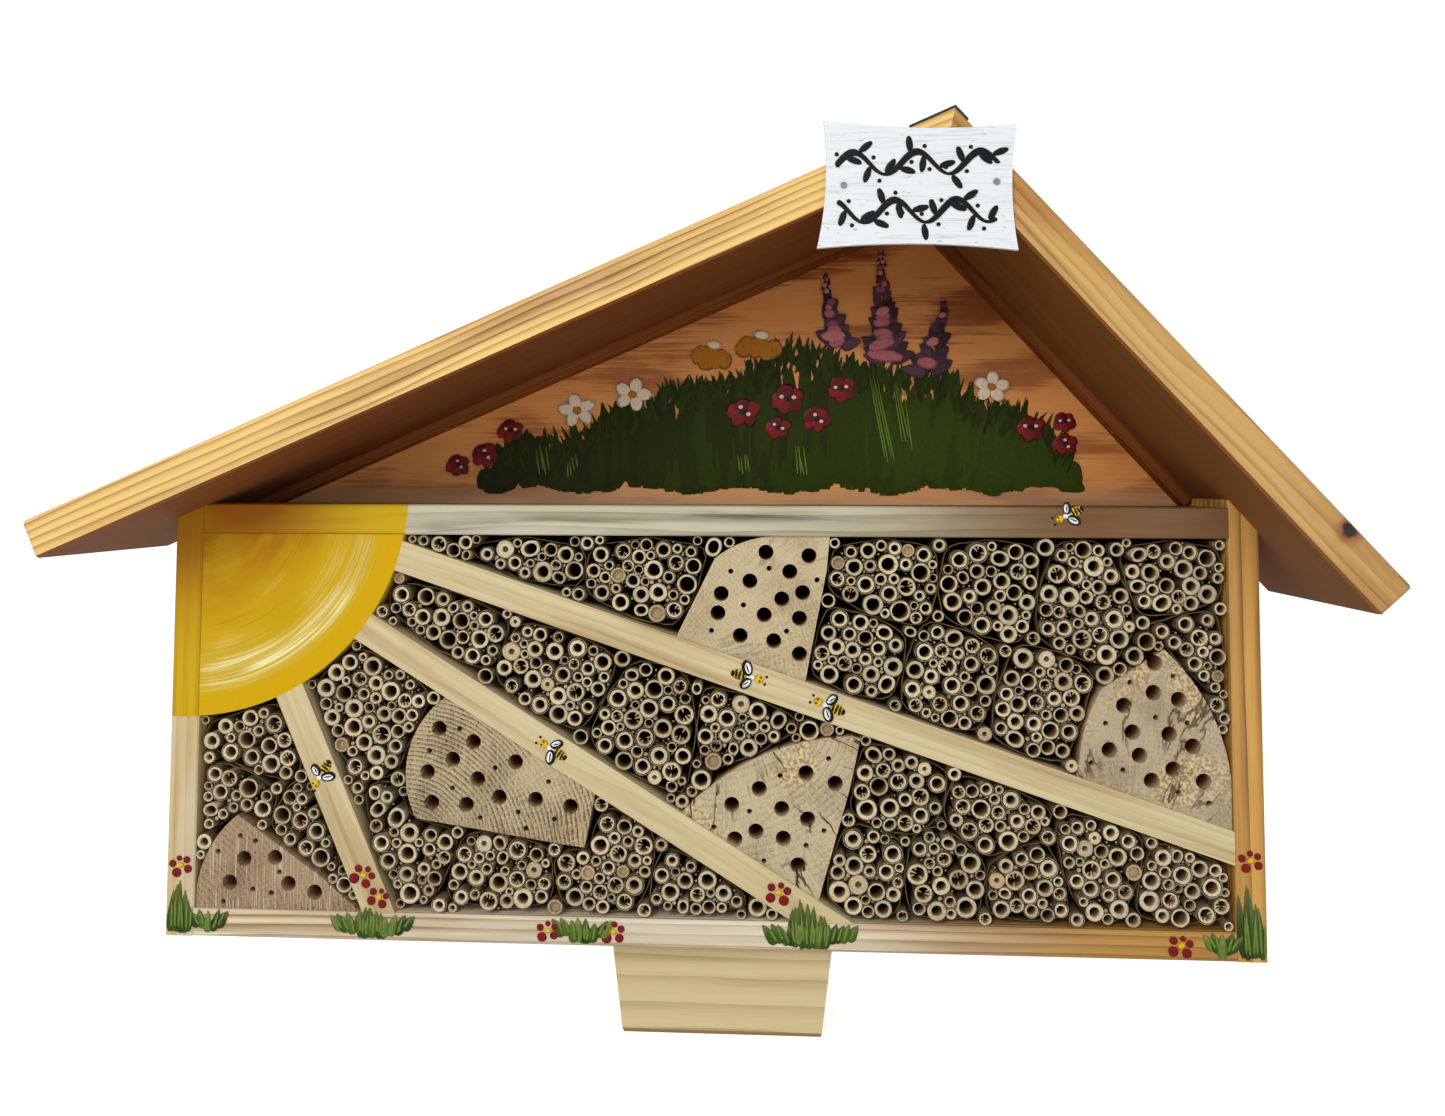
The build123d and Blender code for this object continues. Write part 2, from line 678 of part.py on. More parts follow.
def wooden_pieces():
    """Every board, strip and block, before it is bored for its fasteners."""
    pieces = {
        "side_board_left": side_board(-1),
        "side_board_right": side_board(1),
        "top_rail": top_rail(),
        "bottom_board": bottom_board(),
        "back_panel": back_panel(),
        "roof_board_left": roof_board(DOWN_LEFT, INTO_LEFT, LEFT_SLOPE),
        "roof_board_right": roof_board(DOWN_RIGHT, INTO_RIGHT, RIGHT_SLOPE),
        "gable_batten_left": gable_batten(DOWN_LEFT, INTO_LEFT, -HALF_WIDTH),
        "gable_batten_right": gable_batten(DOWN_RIGHT, INTO_RIGHT, INNER_X),
        "ridge_felt": ridge_strip(),
        "sun_disc": lift(sun_face(), 0, SUN_THICKNESS),
        "foot_block": foot_block(),
        "sign_board": sign_board(),
    }
    for name in RAYS:
        pieces[name] = ray(name)
    for name in LOG_OUTLINES:
        pieces[name] = log_piece(name)
    return pieces


def fasteners():
    return {
        "frame_screws": frame_screws(),
        "joint_dowels": joint_dowels(),
        "roof_screws": roof_screws(),
        "ray_and_sun_screws": ray_and_sun_screws(),
        "panel_screws": panel_screws(),
        "batten_nails": batten_nails(),
        "sign_nails": sign_nails(),
        "foot_screws": foot_screws(),
    }


# The pieces that each kind of fastener goes through or into
BORED_FOR = {
    "frame_screws": ["side_board_left", "side_board_right", "bottom_board"],
    "joint_dowels": [
        "side_board_left", "side_board_right", "top_rail", "roof_board_left", "roof_board_right",
    ],
    "roof_screws": ["roof_board_left", "roof_board_right", "side_board_left", "side_board_right"],
    "ray_and_sun_screws": [
        "side_board_left", "side_board_right", "bottom_board", "top_rail",
        "ray_long", "ray_middle", "ray_short", "sun_disc",
    ],
    "panel_screws": ["back_panel", "side_board_left", "side_board_right", "bottom_board", "top_rail"],
    "batten_nails": ["gable_batten_left", "gable_batten_right", "roof_board_left", "roof_board_right"],
    "sign_nails": ["sign_board", "roof_board_left", "roof_board_right"],
    "foot_screws": ["bottom_board", "foot_block"],
}


def bore(pieces, fixings):
    """Cut each fastener's own shape out of the pieces that it joins."""
    for fixing, names in BORED_FOR.items():
        for name in names:
            pieces[name] = pieces[name] - fixings[fixing]


def write(name, solids):
    """Write one node's solids, moved to the row's frame."""
    moved = [DATUM * solid for shape in solids for solid in shape.solids()]
    export_step(Compound(children=moved), f"parts/{name}.step")


def main():
    os.makedirs("parts", exist_ok=True)
    pieces = wooden_pieces()
    fixings = fasteners()
    bore(pieces, fixings)
    for name, piece in pieces.items():
        write(name, [piece])
    for name, solids in fixings.items():
        write(name, solids)
    for name, solids in reeds().items():
        write(name, solids)


main()
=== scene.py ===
import math
import random

import bmesh
import bpy
from mathutils import Matrix, Vector


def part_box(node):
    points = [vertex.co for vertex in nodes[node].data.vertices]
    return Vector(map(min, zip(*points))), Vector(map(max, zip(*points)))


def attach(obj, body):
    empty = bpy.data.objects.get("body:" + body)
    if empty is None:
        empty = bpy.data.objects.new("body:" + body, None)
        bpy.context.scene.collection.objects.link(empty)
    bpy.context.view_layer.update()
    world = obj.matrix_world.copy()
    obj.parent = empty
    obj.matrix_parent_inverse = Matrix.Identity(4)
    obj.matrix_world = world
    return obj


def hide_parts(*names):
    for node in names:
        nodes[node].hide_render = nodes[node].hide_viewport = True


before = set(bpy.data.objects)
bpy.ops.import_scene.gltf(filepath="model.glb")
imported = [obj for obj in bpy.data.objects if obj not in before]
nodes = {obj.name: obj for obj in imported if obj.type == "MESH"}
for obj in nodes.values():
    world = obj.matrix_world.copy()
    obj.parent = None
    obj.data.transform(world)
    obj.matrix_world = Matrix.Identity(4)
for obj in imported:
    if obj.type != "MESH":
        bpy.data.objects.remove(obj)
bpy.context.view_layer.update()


# ---------------------------------------------------------------- box boards
# The carcass is four planed pine boards: two uprights, a rail and a bottom board between them.
# They are butted, screwed and dowelled. White primer was wiped along the front edges, thickest at
# the left, and the right end has gone honey-coloured under its varnish.

MM = 0.001
BOX_CORNER, BOX_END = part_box("bottom_board")
BOX_MIDDLE = Vector(((BOX_CORNER.x + BOX_END.x) / 2, BOX_CORNER.y, BOX_CORNER.z))


def on_box(x, z, y=0.0):
    """A point given in millimetres right, up and back from the middle of the bottom board's front."""
    return BOX_MIDDLE + Vector((x, y, z)) * MM


def chip(red, green, blue):
    """A colour as a paint chart gives it, for a shader socket."""
    def linear(value):
        value = value / 255
        return value / 12.92 if value < 0.04045 else ((value + 0.055) / 1.055) ** 2.4
    return (linear(red), linear(green), linear(blue), 1.0)


def put(tree, value, socket):
    """Link an output to a socket, or set the socket to a number, vector or colour."""
    if isinstance(value, bpy.types.NodeSocket):
        tree.links.new(value, socket)
    else:
        socket.default_value = value


def add(tree, kind, sockets=None, **settings):
    """Add one shader node with its settings and what goes into its sockets."""
    made = tree.nodes.new("ShaderNode" + kind)
    for setting, value in settings.items():
        setattr(made, setting, value)
    for socket, value in (sockets or {}).items():
        put(tree, value, made.inputs[socket])
    return made


def calc(operation, *values):
    """Work a sum in the tree that the first output among its values belongs to."""
    tree = next(value for value in values if isinstance(value, bpy.types.NodeSocket)).id_data
    return add(tree, "Math", dict(enumerate(values)), operation=operation).outputs[0]


def times(one, other):
    return calc("MULTIPLY", one, other)


def plus(one, other):
    return calc("ADD", one, other)


def minus(one, other):
    return calc("SUBTRACT", one, other)


def blend(share, under, over, way="MIX"):
    """One colour over another by a share from 0 to 1."""
    colours = {0: share, 6: under, 7: over}
    return add(share.id_data, "Mix", colours, data_type="RGBA", blend_type=way).outputs[2]


def between(value, low, high):
    """0 below low, 1 above high and a soft change between; low may be the greater."""
    ends = {"Value": value, "From Min": low, "From Max": high}
    return add(value.id_data, "MapRange", ends, interpolation_type="SMOOTHSTEP").outputs["Result"]


def cloud(vector, scale, detail=3.0):
    """Noise from 0 to 1, finer along an axis where its scale is larger."""
    tree = vector.id_data
    stretched = add(tree, "Mapping", {"Vector": vector, "Scale": scale}).outputs[0]
    return add(tree, "TexNoise", {"Vector": stretched, "Scale": 1.0, "Detail": detail}).outputs[0]


def start_group(name, inputs, outputs):
    """A shader group's tree, what comes into it and what goes out of it."""
    tree = bpy.data.node_groups.new(name, "ShaderNodeTree")
    for in_out, sockets in (("INPUT", inputs), ("OUTPUT", outputs)):
        for socket, kind in sockets.items():
            tree.interface.new_socket(socket, in_out=in_out, socket_type="NodeSocket" + kind)
    return tree, tree.nodes.new("NodeGroupInput").outputs, tree.nodes.new("NodeGroupOutput").inputs


def use_group(tree, name, **sockets):
    sockets = {socket.replace("_", " ").title(): value for socket, value in sockets.items()}
    return add(tree, "Group", sockets, node_tree=bpy.data.node_groups[name]).outputs


def start_material(name, **sockets):
    """A material's tree and its shader, with the plain values set on the shader itself."""
    made = bpy.data.materials.new(name)
    made.use_nodes = True
    shader = made.node_tree.nodes["Principled BSDF"]
    for socket, value in sockets.items():
        shader.inputs[socket.replace("_", " ")].default_value = value
    return made, made.node_tree, shader


def surface(tree, shader, colour, height=None, relief=0.2 * MM):
    """Send a colour, and a height that is relief deep, to the shader."""
    put(tree, colour, shader.inputs["Base Color"])
    if height is not None:
        bump = add(tree, "Bump", {"Height": height, "Distance": relief, "Strength": 1.0})
        put(tree, bump.outputs[0], shader.inputs["Normal"])


def here(tree, turn=0.0, away=(0, 0, 0)):
    """Object coordinates turned in the front plane so that X runs along a board, then moved."""
    spot = add(tree, "TexCoord").outputs["Object"]
    return add(tree, "Mapping", {"Vector": spot, "Rotation": (0, turn, 0), "Location": away}).outputs[0]


def split(vector):
    return add(vector.id_data, "SeparateXYZ", {"Vector": vector}).outputs


def facing(tree, direction):
    """1 on faces that look in a direction, 0 on the rest."""
    normal = add(tree, "NewGeometry").outputs["Normal"]
    dot = add(tree, "VectorMath", {0: normal, 1: direction}, operation="DOT_PRODUCT").outputs["Value"]
    return between(dot, 0.45, 0.65)


def dress(material, *names):
    """Give CAD nodes a finish."""
    for name in names:
        nodes[name].data.materials.clear()
        nodes[name].data.materials.append(material)


# Long grain: year rings round a pith that lies along X, wavering fibres and soft streaks
tree, come, go = start_group(
    "long_grain",
    {"Vector": "Vector", "Pale": "Color", "Deep": "Color", "Spacing": "Float", "Rings": "Float",
     "Streaks": "Float", "Waver": "Float"},
    {"Color": "Color", "Height": "Float"},
)
drift = add(tree, "TexNoise", {"Scale": 1.0, "Detail": 2.0})
put(tree, add(tree, "Mapping", {"Vector": come["Vector"], "Scale": (3.5, 22, 22)}).outputs[0],
    drift.inputs["Vector"])
offset = add(tree, "VectorMath", {0: drift.outputs["Color"], 1: (0.5, 0.5, 0.5)}, operation="SUBTRACT")
waver = add(tree, "VectorMath", {0: offset.outputs[0]}, operation="SCALE")
put(tree, come["Waver"], waver.inputs["Scale"])
bent = add(tree, "VectorMath", {0: come["Vector"], 1: waver.outputs[0]}, operation="ADD").outputs[0]
rings = add(tree, "TexWave", {"Vector": bent}, wave_type="RINGS", rings_direction="X", wave_profile="SAW")
put(tree, calc("DIVIDE", math.pi / 10, come["Spacing"]), rings.inputs["Scale"])
rings.inputs["Distortion"].default_value = 0.0
late = calc("POWER", rings.outputs["Fac"], 2.6)
fibre = cloud(bent, (14, 700, 700), 4.0)
streak = between(cloud(bent, (5, 95, 95), 3.0), 0.42, 0.7)
depth = plus(times(late, come["Rings"]), times(streak, come["Streaks"]))
depth = plus(depth, times(minus(fibre, 0.5), 0.35))
depth = add(tree, "Clamp", {"Value": depth}).outputs[0]
put(tree, blend(depth, come["Pale"], come["Deep"]), go["Color"])
put(tree, minus(times(fibre, 0.8), times(late, 0.4)), go["Height"])

# Sun paint: acrylic, from ochre in the corner to yellow at the rim. On the disc it was dragged round
# the sun's centre with a stiff brush and white on its tip; on the boards it was laid on along them.
SUN_RADIUS = 141 * MM
SUN_MIDDLE = on_box(-330, 278)
tree, come, go = start_group(
    "sun_paint",
    {"Vector": "Vector", "Along": "Vector", "Bare": "Color", "Bare Height": "Float", "Arcs": "Float"},
    {"Color": "Color", "Height": "Float"},
)
spot = split(come["Vector"])
right = minus(spot[0], SUN_MIDDLE.x)
up = minus(spot[2], SUN_MIDDLE.z)
away = calc("SQRT", plus(times(right, right), times(up, up)))
turn = calc("ARCTAN2", up, right)
swept = add(tree, "CombineXYZ", {0: times(turn, 0.9), 1: away, 2: 0.0}).outputs[0]
hairs = cloud(swept, (1.2, 620, 1), 3.0)
sweeps = cloud(swept, (1.6, 70, 1), 2.0)
wander = times(minus(cloud(swept, (2.2, 20, 1), 1.0), 0.5), 26 * MM)
ring = plus(away, wander)
ochre = between(ring, 125 * MM, 25 * MM)
ochre = times(ochre, plus(0.75, times(between(turn, -1.1, 0.0), 0.5)))
paint = blend(ochre, chip(202, 166, 4), chip(166, 94, 0))
strokes = cloud(come["Along"], (9, 240, 240), 3.0)
plain = blend(times(between(strokes, 0.4, 0.7), 0.35), paint, chip(146, 100, 6))
band = times(between(ring, 96 * MM, 120 * MM), between(away, 130 * MM, 119 * MM))
band = times(band, plus(0.1, between(hairs, 0.42, 0.66)))
band = times(band, plus(0.25, between(sweeps, 0.38, 0.6)))
flicks = times(between(sweeps, 0.54, 0.68), between(hairs, 0.5, 0.66))
flicks = times(flicks, between(away, 36 * MM, 95 * MM))
white = calc("MAXIMUM", band, times(flicks, 0.3))
white = times(white, between(away, 131 * MM, 126 * MM))
ends = times(between(turn, -0.10, -0.30), between(turn, -1.60, -1.42))
white = times(white, ends)
dragged = blend(times(between(sweeps, 0.35, 0.65), 0.3), paint, chip(212, 176, 30))
dragged = blend(white, dragged, chip(240, 234, 176))
dragged = blend(times(between(hairs, 0.6, 0.72), 0.4), dragged, chip(140, 100, 8))
rim = between(away, 124 * MM, 131 * MM)
dragged = blend(rim, dragged, chip(208, 164, 2))
paint = blend(come["Arcs"], plain, dragged)
ragged = plus(away, times(cloud(come["Vector"], (700, 700, 700), 2.0), 1.6 * MM))
painted = between(ragged, SUN_RADIUS + 1.6 * MM, SUN_RADIUS + 0.8 * MM)
put(tree, blend(painted, come["Bare"], paint), go["Color"])
ridges = plus(0.7, times(hairs, come["Arcs"]))
made = add(tree, "Mix", {0: painted, 2: come["Bare Height"], 3: ridges}, data_type="FLOAT")
put(tree, made.outputs[0], go["Height"])

ALONG_Z = math.radians(90)
WARM_END = BOX_MIDDLE.x + 240 * MM


def box_board(name, turn, pith, pale, deep, sunny, under_sun=False, **grain):
    """Varnished pine with primer wiped on its front; sunny is its colour at the box's right end."""
    made, tree, shader = start_material(name, Roughness=0.55, Coat_Weight=0.04, Specular_IOR_Level=0.18)
    place = split(here(tree))
    warm = between(place[0], BOX_MIDDLE.x + 50 * MM, WARM_END)
    warm = times(warm, 0.92)
    grain = use_group(tree, "long_grain", vector=here(tree, turn, pith),
                      pale=blend(warm, pale, sunny), deep=blend(warm, deep, chip(126, 76, 32)), **grain)
    wiped = between(cloud(here(tree, turn), (10, 60, 60), 4.0), 0.38, 0.72)
    wiped = times(times(wiped, facing(tree, (0, -1, 0))), minus(1.0, warm))
    colour = blend(times(wiped, 0.5), grain["Color"], chip(214, 208, 190))
    height = grain["Height"]
    if under_sun:
        sun = use_group(tree, "sun_paint", vector=here(tree), along=here(tree, turn),
                        bare=colour, bare_height=height, arcs=0.0)
        front = facing(tree, (0, -1, 0))
        colour = blend(front, colour, sun["Color"])
        height = add(tree, "Mix", {0: front, 2: height, 3: sun["Height"]}, data_type="FLOAT").outputs[0]
    surface(tree, shader, colour, height)
    return made


honey = chip(214, 160, 74)
dress(
    box_board("left_upright_pine",
              ALONG_Z, (0.1, 0.085, -0.30), chip(208, 186, 136), chip(158, 118, 66), honey,
              under_sun=True, spacing=5 * MM, rings=0.45, streaks=0.25, waver=0.006),
    "side_board_left",
)
dress(
    box_board("right_upright_pine",
              ALONG_Z, (0.2, 0.09, 0.27), chip(204, 172, 118), chip(136, 84, 36), honey,
              spacing=7 * MM, rings=0.75, streaks=0.35, waver=0.006),
    "side_board_right",
)
dress(
    box_board("rail_pine", 0.0, (0.4, 0.1, -0.29), chip(190, 182, 152), chip(52, 42, 26), chip(104, 72, 32),
              under_sun=True, spacing=5 * MM, rings=0.45, streaks=0.75, waver=0.010),
    "top_rail",
)
dress(
    box_board("bottom_pine",
              0.0, (0.1, 0.11, -0.02), chip(234, 222, 192), chip(158, 124, 80), chip(184, 132, 44),
              spacing=3.4 * MM, rings=0.7, streaks=0.55, waver=0.006),
    "bottom_board",
)


# ---------------------------------------------------------------- foot
# A tapered offcut of unfinished pine stands under the bottom board, screwed from inside the box.
# Its grain runs across, and its lower front arris is planed off.

made, tree, shader = start_material("foot_pine", Roughness=0.65, Specular_IOR_Level=0.3)
grain = use_group(tree, "long_grain", vector=here(tree, 0.0, (0.3, 0.16, 0.05)), pale=chip(212, 194, 148),
                  deep=chip(170, 140, 92), spacing=8 * MM, rings=0.5, streaks=0.35, waver=0.012)
# Faces that look down, the underside and the planed-off arris, are painted darker: painted shade.
underside_shade = facing(tree, (0, 0, -1))
surface(tree, shader, blend(underside_shade, grain["Color"], chip(170, 138, 92)), grain["Height"])
dress(made, "foot_block")


# ---------------------------------------------------------------- back panel
# One sheet of thin plywood closes the back. The gable part that shows under the roof is brushed
# with brown glaze that dried in clouds; the strip along the rail was left nearly bare.

made, tree, shader = start_material("glazed_plywood", Roughness=0.4, Coat_Weight=0.08,
                                    Specular_IOR_Level=0.25)
ply = use_group(tree, "long_grain", vector=here(tree, 0.0, (0.2, 0.3, 0.1)), pale=chip(216, 180, 132),
                deep=chip(168, 122, 76), spacing=11 * MM, rings=0.35, streaks=0.4, waver=0.05)
spot = here(tree)
place = split(spot)
rail_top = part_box("top_rail")[1].z
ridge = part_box("roof_board_left")[1].z
glaze = blend(cloud(spot, (16, 1, 60), 4.0), chip(218, 134, 60), chip(244, 172, 98))
dry_brush = times(minus(cloud(spot, (14, 1, 520), 3.0), 0.5), 0.35)
patch = between(plus(cloud(spot, (9, 1, 34), 5.0), dry_brush), 0.47, 0.63)
# Towards the top, under the roof, the glaze is painted darker, as painted shade from the roof, and its dark
# clouds grow stronger there.
high = between(place[2], rail_top + 70 * MM, ridge - 40 * MM)
patch = times(patch, plus(0.6, times(high, 0.4)))
glaze = blend(patch, glaze, chip(122, 50, 2))
glaze = blend(times(high, 0.35), glaze, chip(150, 66, 10))
bare = between(place[2], rail_top + 16 * MM, rail_top + 5 * MM)
glaze = blend(times(bare, 0.6), glaze, chip(186, 150, 112))
glaze = blend(times(cloud(spot, (25, 1, 900), 2.0), 0.25), glaze, chip(96, 50, 24))
front = times(facing(tree, (0, -1, 0)), between(place[2], rail_top - 4 * MM, rail_top))
surface(tree, shader, blend(front, ply["Color"], glaze), ply["Height"], 0.12 * MM)
dress(made, "back_panel")


# ---------------------------------------------------------------- roof boards
# Two thick varnished pine boards meet in a mitre at the lopsided ridge, with dowels across it,
# and are screwed down into the uprights. Their undersides carry the gable's brown glaze.

LEFT_PITCH = math.radians(23.7)
RIGHT_PITCH = math.radians(47.8)


def roof_pine(name, turn, pith, eave_x, shade, knot=None, **grain):
    """Varnished pine, glazed brown underneath; the underside is made paler towards the eave."""
    made, tree, shader = start_material(name, Specular_IOR_Level=0.25)
    wood = use_group(tree, "long_grain", vector=here(tree, turn, pith), **grain)
    spot = here(tree)
    colour = wood["Color"]
    amber = between(cloud(here(tree, turn), (6, 30, 30), 3.0), 0.5, 0.75)
    colour = blend(times(amber, 0.35), colour, chip(184, 116, 48))
    if knot is not None:
        near = add(tree, "VectorMath", {0: spot, 1: knot}, operation="DISTANCE").outputs["Value"]
        near = plus(near, times(cloud(spot, (220, 220, 220), 2.0), 5 * MM))
        colour = blend(between(near, 13 * MM, 7 * MM), colour, chip(150, 92, 44))
        colour = blend(between(near, 8 * MM, 5.5 * MM), colour, chip(34, 18, 12))
    inland = calc("ABSOLUTE", minus(split(spot)[0], eave_x))
    eave = between(inland, 190 * MM, 20 * MM)
    stain = blend(cloud(here(tree, turn), (7, 120, 120), 4.0), shade, chip(190, 180, 164), "MULTIPLY")
    stain = blend(times(eave, 0.6), stain, chip(138, 94, 54))
    under = facing(tree, (math.sin(turn), 0, -math.cos(turn)))
    put(tree, times(minus(1.0, under), 0.15), shader.inputs["Coat Weight"])
    put(tree, calc("MULTIPLY_ADD", under, 0.25, 0.42), shader.inputs["Roughness"])
    surface(tree, shader, blend(under, colour, stain), wood["Height"])
    return made


dress(
    roof_pine("left_roof_pine",
              LEFT_PITCH, (0.0, 0.10, -0.36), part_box("roof_board_left")[0].x, chip(138, 76, 30),
              pale=chip(238, 198, 120), deep=chip(140, 82, 30), spacing=4.4 * MM, rings=0.7, streaks=0.5,
              waver=0.014),
    "roof_board_left",
)
dress(
    roof_pine("right_roof_pine",
              -RIGHT_PITCH, (0.0, 0.12, -0.50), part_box("roof_board_right")[1].x, chip(142, 88, 34),
              on_box(364, 261, -60), pale=chip(206, 164, 96), deep=chip(146, 94, 42), spacing=5.2 * MM,
              rings=0.45, streaks=0.6, waver=0.022),
    "roof_board_right",
)

# Dark-glazed cover strips run under both boards where they meet the panel, nailed up from below.
for side, turn in (("left", LEFT_PITCH), ("right", -RIGHT_PITCH)):
    made, tree, shader = start_material(f"{side}_strip_glaze", Roughness=0.55, Specular_IOR_Level=0.12)
    wood = use_group(tree, "long_grain", vector=here(tree, turn, (0, 0.2, 0.1)), pale=chip(132, 72, 26),
                     deep=chip(78, 36, 8), spacing=4 * MM, rings=0.5, streaks=0.6, waver=0.008)
    surface(tree, shader, wood["Color"], wood["Height"])
    dress(made, f"gable_batten_{side}")

# A folded strip of black mineral felt caps the ridge, stuck down with the roofer's own glue.
made, tree, shader = start_material("black_felt", Roughness=0.92)
grit = cloud(here(tree), (1500, 1500, 1500), 2.0)
surface(tree, shader, blend(grit, chip(16, 16, 17), chip(62, 60, 58)), grit, 0.5 * MM)
dress(made, "ridge_felt")


# ---------------------------------------------------------------- sun
# A quarter disc of 18 mm board fills the box's upper left corner, screwed from outside. Its paint
# runs on over the rail and the upright.

made, tree, shader = start_material("sun_acrylic", Roughness=0.5, Specular_IOR_Level=0.1)
sun = use_group(tree, "sun_paint", vector=here(tree), along=here(tree), bare=chip(206, 170, 60),
                bare_height=0.5, arcs=1.0)
surface(tree, shader, sun["Color"], sun["Height"], 0.3 * MM)
dress(made, "sun_disc")


# ---------------------------------------------------------------- rays
# Three unfinished pine slats run out from the sun and divide the box into four. Their outer ends
# are screwed through the upright and the bottom board.

RAY_SLOPES = {"ray_long": -18.5, "ray_middle": -31.4, "ray_short": -66.2}
for name, pith in (("ray_long", (0.2, 0.07, -0.255)),
                   ("ray_middle", (0.4, 0.09, -0.09)), ("ray_short", (0.0, 0.08, 0.15))):
    turn = math.radians(RAY_SLOPES[name])
    made, tree, shader = start_material(f"{name}_pine", Roughness=0.62, Specular_IOR_Level=0.3)
    wood = use_group(tree, "long_grain", vector=here(tree, turn, pith), pale=chip(212, 196, 152),
                     deep=chip(158, 124, 74), spacing=4.2 * MM, rings=0.28, streaks=0.5, waver=0.012)
    knotty = between(cloud(here(tree, turn), (9, 70, 70), 3.0), 0.62, 0.78)
    surface(tree, shader, blend(times(knotty, 0.5), wood["Color"], chip(160, 124, 76)), wood["Height"])
    dress(made, name)


# ---------------------------------------------------------------- log pieces
# Five chunks sawn across seasoned hardwood logs are wedged in among the reeds, end grain forward,
# and drilled with nesting holes in two sizes.

tree, come, go = start_group(
    "end_grain",
    {"Vector": "Vector", "Pale": "Color", "Deep": "Color", "Spacing": "Float", "Rings": "Float",
     "Cracks": "Float", "Scratches": "Float", "Torn": "Float"},
    {"Color": "Color", "Height": "Float"},
)
drift = add(tree, "TexNoise", {"Vector": come["Vector"], "Scale": 24.0, "Detail": 2.0}).outputs["Color"]
offset = add(tree, "VectorMath", {0: drift, 1: (0.5, 0.5, 0.5)}, operation="SUBTRACT").outputs[0]
waver = add(tree, "VectorMath", {0: offset, "Scale": 0.008}, operation="SCALE").outputs[0]
bent = add(tree, "VectorMath", {0: come["Vector"], 1: waver}, operation="ADD").outputs[0]
spot = split(bent)
away = calc("SQRT", plus(times(spot[0], spot[0]), times(spot[2], spot[2])))
turn = calc("ARCTAN2", spot[2], spot[0])
ring = calc("FRACT", calc("DIVIDE", away, come["Spacing"]))
ring = calc("POWER", ring, 1.6)
swept = add(tree, "CombineXYZ", {0: turn, 1: away, 2: 0.0}).outputs[0]
rays = cloud(swept, (75, 60, 1), 3.0)
dots = between(cloud(come["Vector"], (800, 1, 800), 2.0), 0.4, 0.65)
blotch = cloud(come["Vector"], (30, 30, 30), 4.0)
clear = between(cloud(come["Vector"], (14, 1, 14), 2.0), 0.36, 0.6)
ring = times(times(ring, plus(0.6, times(dots, 0.6))), come["Rings"])
ring = times(ring, plus(0.25, clear))
split_lines = calc("ABSOLUTE", minus(cloud(swept, (5, 13, 1), 5.0), 0.5))
weak = between(cloud(come["Vector"], (22, 1, 22), 2.0), 0.45, 0.57)
crack = times(between(split_lines, 0.018, 0.004), weak)
crack = times(crack, come["Cracks"])
tone = plus(times(minus(rays, 0.45), 0.7), times(between(blotch, 0.4, 0.75), 0.4))
tone = plus(tone, times(minus(dots, 0.5), 0.22))
tone = add(tree, "Clamp", {"Value": plus(ring, tone)}).outputs[0]
wood = blend(tone, come["Pale"], come["Deep"])
sawn = between(cloud(come["Vector"], (1100, 1, 26), 3.0), 0.52, 0.66)
wood = blend(times(sawn, come["Scratches"]), wood, chip(206, 190, 160))
fuzz = cloud(come["Vector"], (520, 520, 520), 3.0)
torn = times(between(cloud(come["Vector"], (17, 1, 17), 4.0), 0.46, 0.6), come["Torn"])
fibres = blend(between(fuzz, 0.36, 0.66), chip(142, 112, 74), chip(226, 206, 160))
wood = blend(times(torn, 0.75), wood, fibres)
put(tree, blend(crack, wood, chip(64, 44, 28)), go["Color"])
relief = minus(minus(1.0, times(ring, 0.5)), crack)
relief = plus(relief, times(times(torn, fuzz), 1.5))
put(tree, plus(relief, times(dots, 0.15)), go["Height"])

# Each log: its pith, its pale and deep colours, ring spacing, and how strong its rings, cracks, saw
# scratches and torn fibres are
LOG_FINISHES = {
    "log_top": ((-60, 150), (200, 182, 146), (124, 100, 66), 2.6, 0.3, 0.3, 0.3, 0.3),
    "log_right": ((262, 40), (186, 168, 138), (108, 88, 62), 3.4, 0.25, 0.8, 0.2, 1.0),
    "log_centre": ((10, 160), (198, 182, 148), (112, 88, 58), 4.2, 0.35, 1.0, 0.3, 1.0),
    "log_left": ((-190, 50), (196, 176, 140), (76, 52, 30), 2.8, 0.95, 0.2, 0.4, 0.2),
    "log_corner": ((-350, -10), (166, 140, 110), (70, 46, 32), 3.4, 0.4, 0.1, 0.8, 0.1),
}
for name, (pith, pale, deep, spacing, rings, cracks, scratches, torn) in LOG_FINISHES.items():
    made, tree, shader = start_material(f"{name}_end_grain", Roughness=0.8, Specular_IOR_Level=0.2)
    heart = on_box(*pith)
    wood = use_group(tree, "end_grain",
                     vector=here(tree, 0.0, (-heart.x, 0, -heart.z)), pale=chip(*pale), deep=chip(*deep),
                     spacing=spacing * MM, rings=rings, cracks=cracks, scratches=scratches, torn=torn)
    # Faces from 3 mm behind the front, the walls of the holes and the log's sides, are painted brown:
    # painted shade in the holes.
    recess_shade = between(split(here(tree))[1], BOX_MIDDLE.y + 3 * MM, BOX_MIDDLE.y + 12 * MM)
    surface(tree, shader, blend(recess_shade, wood["Color"], chip(150, 104, 66)), wood["Height"], 0.35 * MM)
    dress(made, name)


# ---------------------------------------------------------------- reeds
# Some 820 lengths of dry reed and hollow stem, cut square and tied in small bundles with split
# leaf, are packed into the box with loose ones between. Each is modelled from one of a few kinds.

REED_SIDES = 16
REED_RUN = 58.0
REED_SWELL = 1.04
SLIM_KINDS = 17


def start_shape(name, primitive, **sizes):
    """Add a primitive with nothing else selected, with its place in its mesh."""
    if bpy.context.mode != "OBJECT":
        bpy.ops.object.mode_set(mode="OBJECT")
    bpy.ops.object.select_all(action="DESELECT")
    primitive(**sizes)
    shape = bpy.context.object
    shape.name = name
    bpy.ops.object.transform_apply(location=True, rotation=True, scale=True)
    return shape


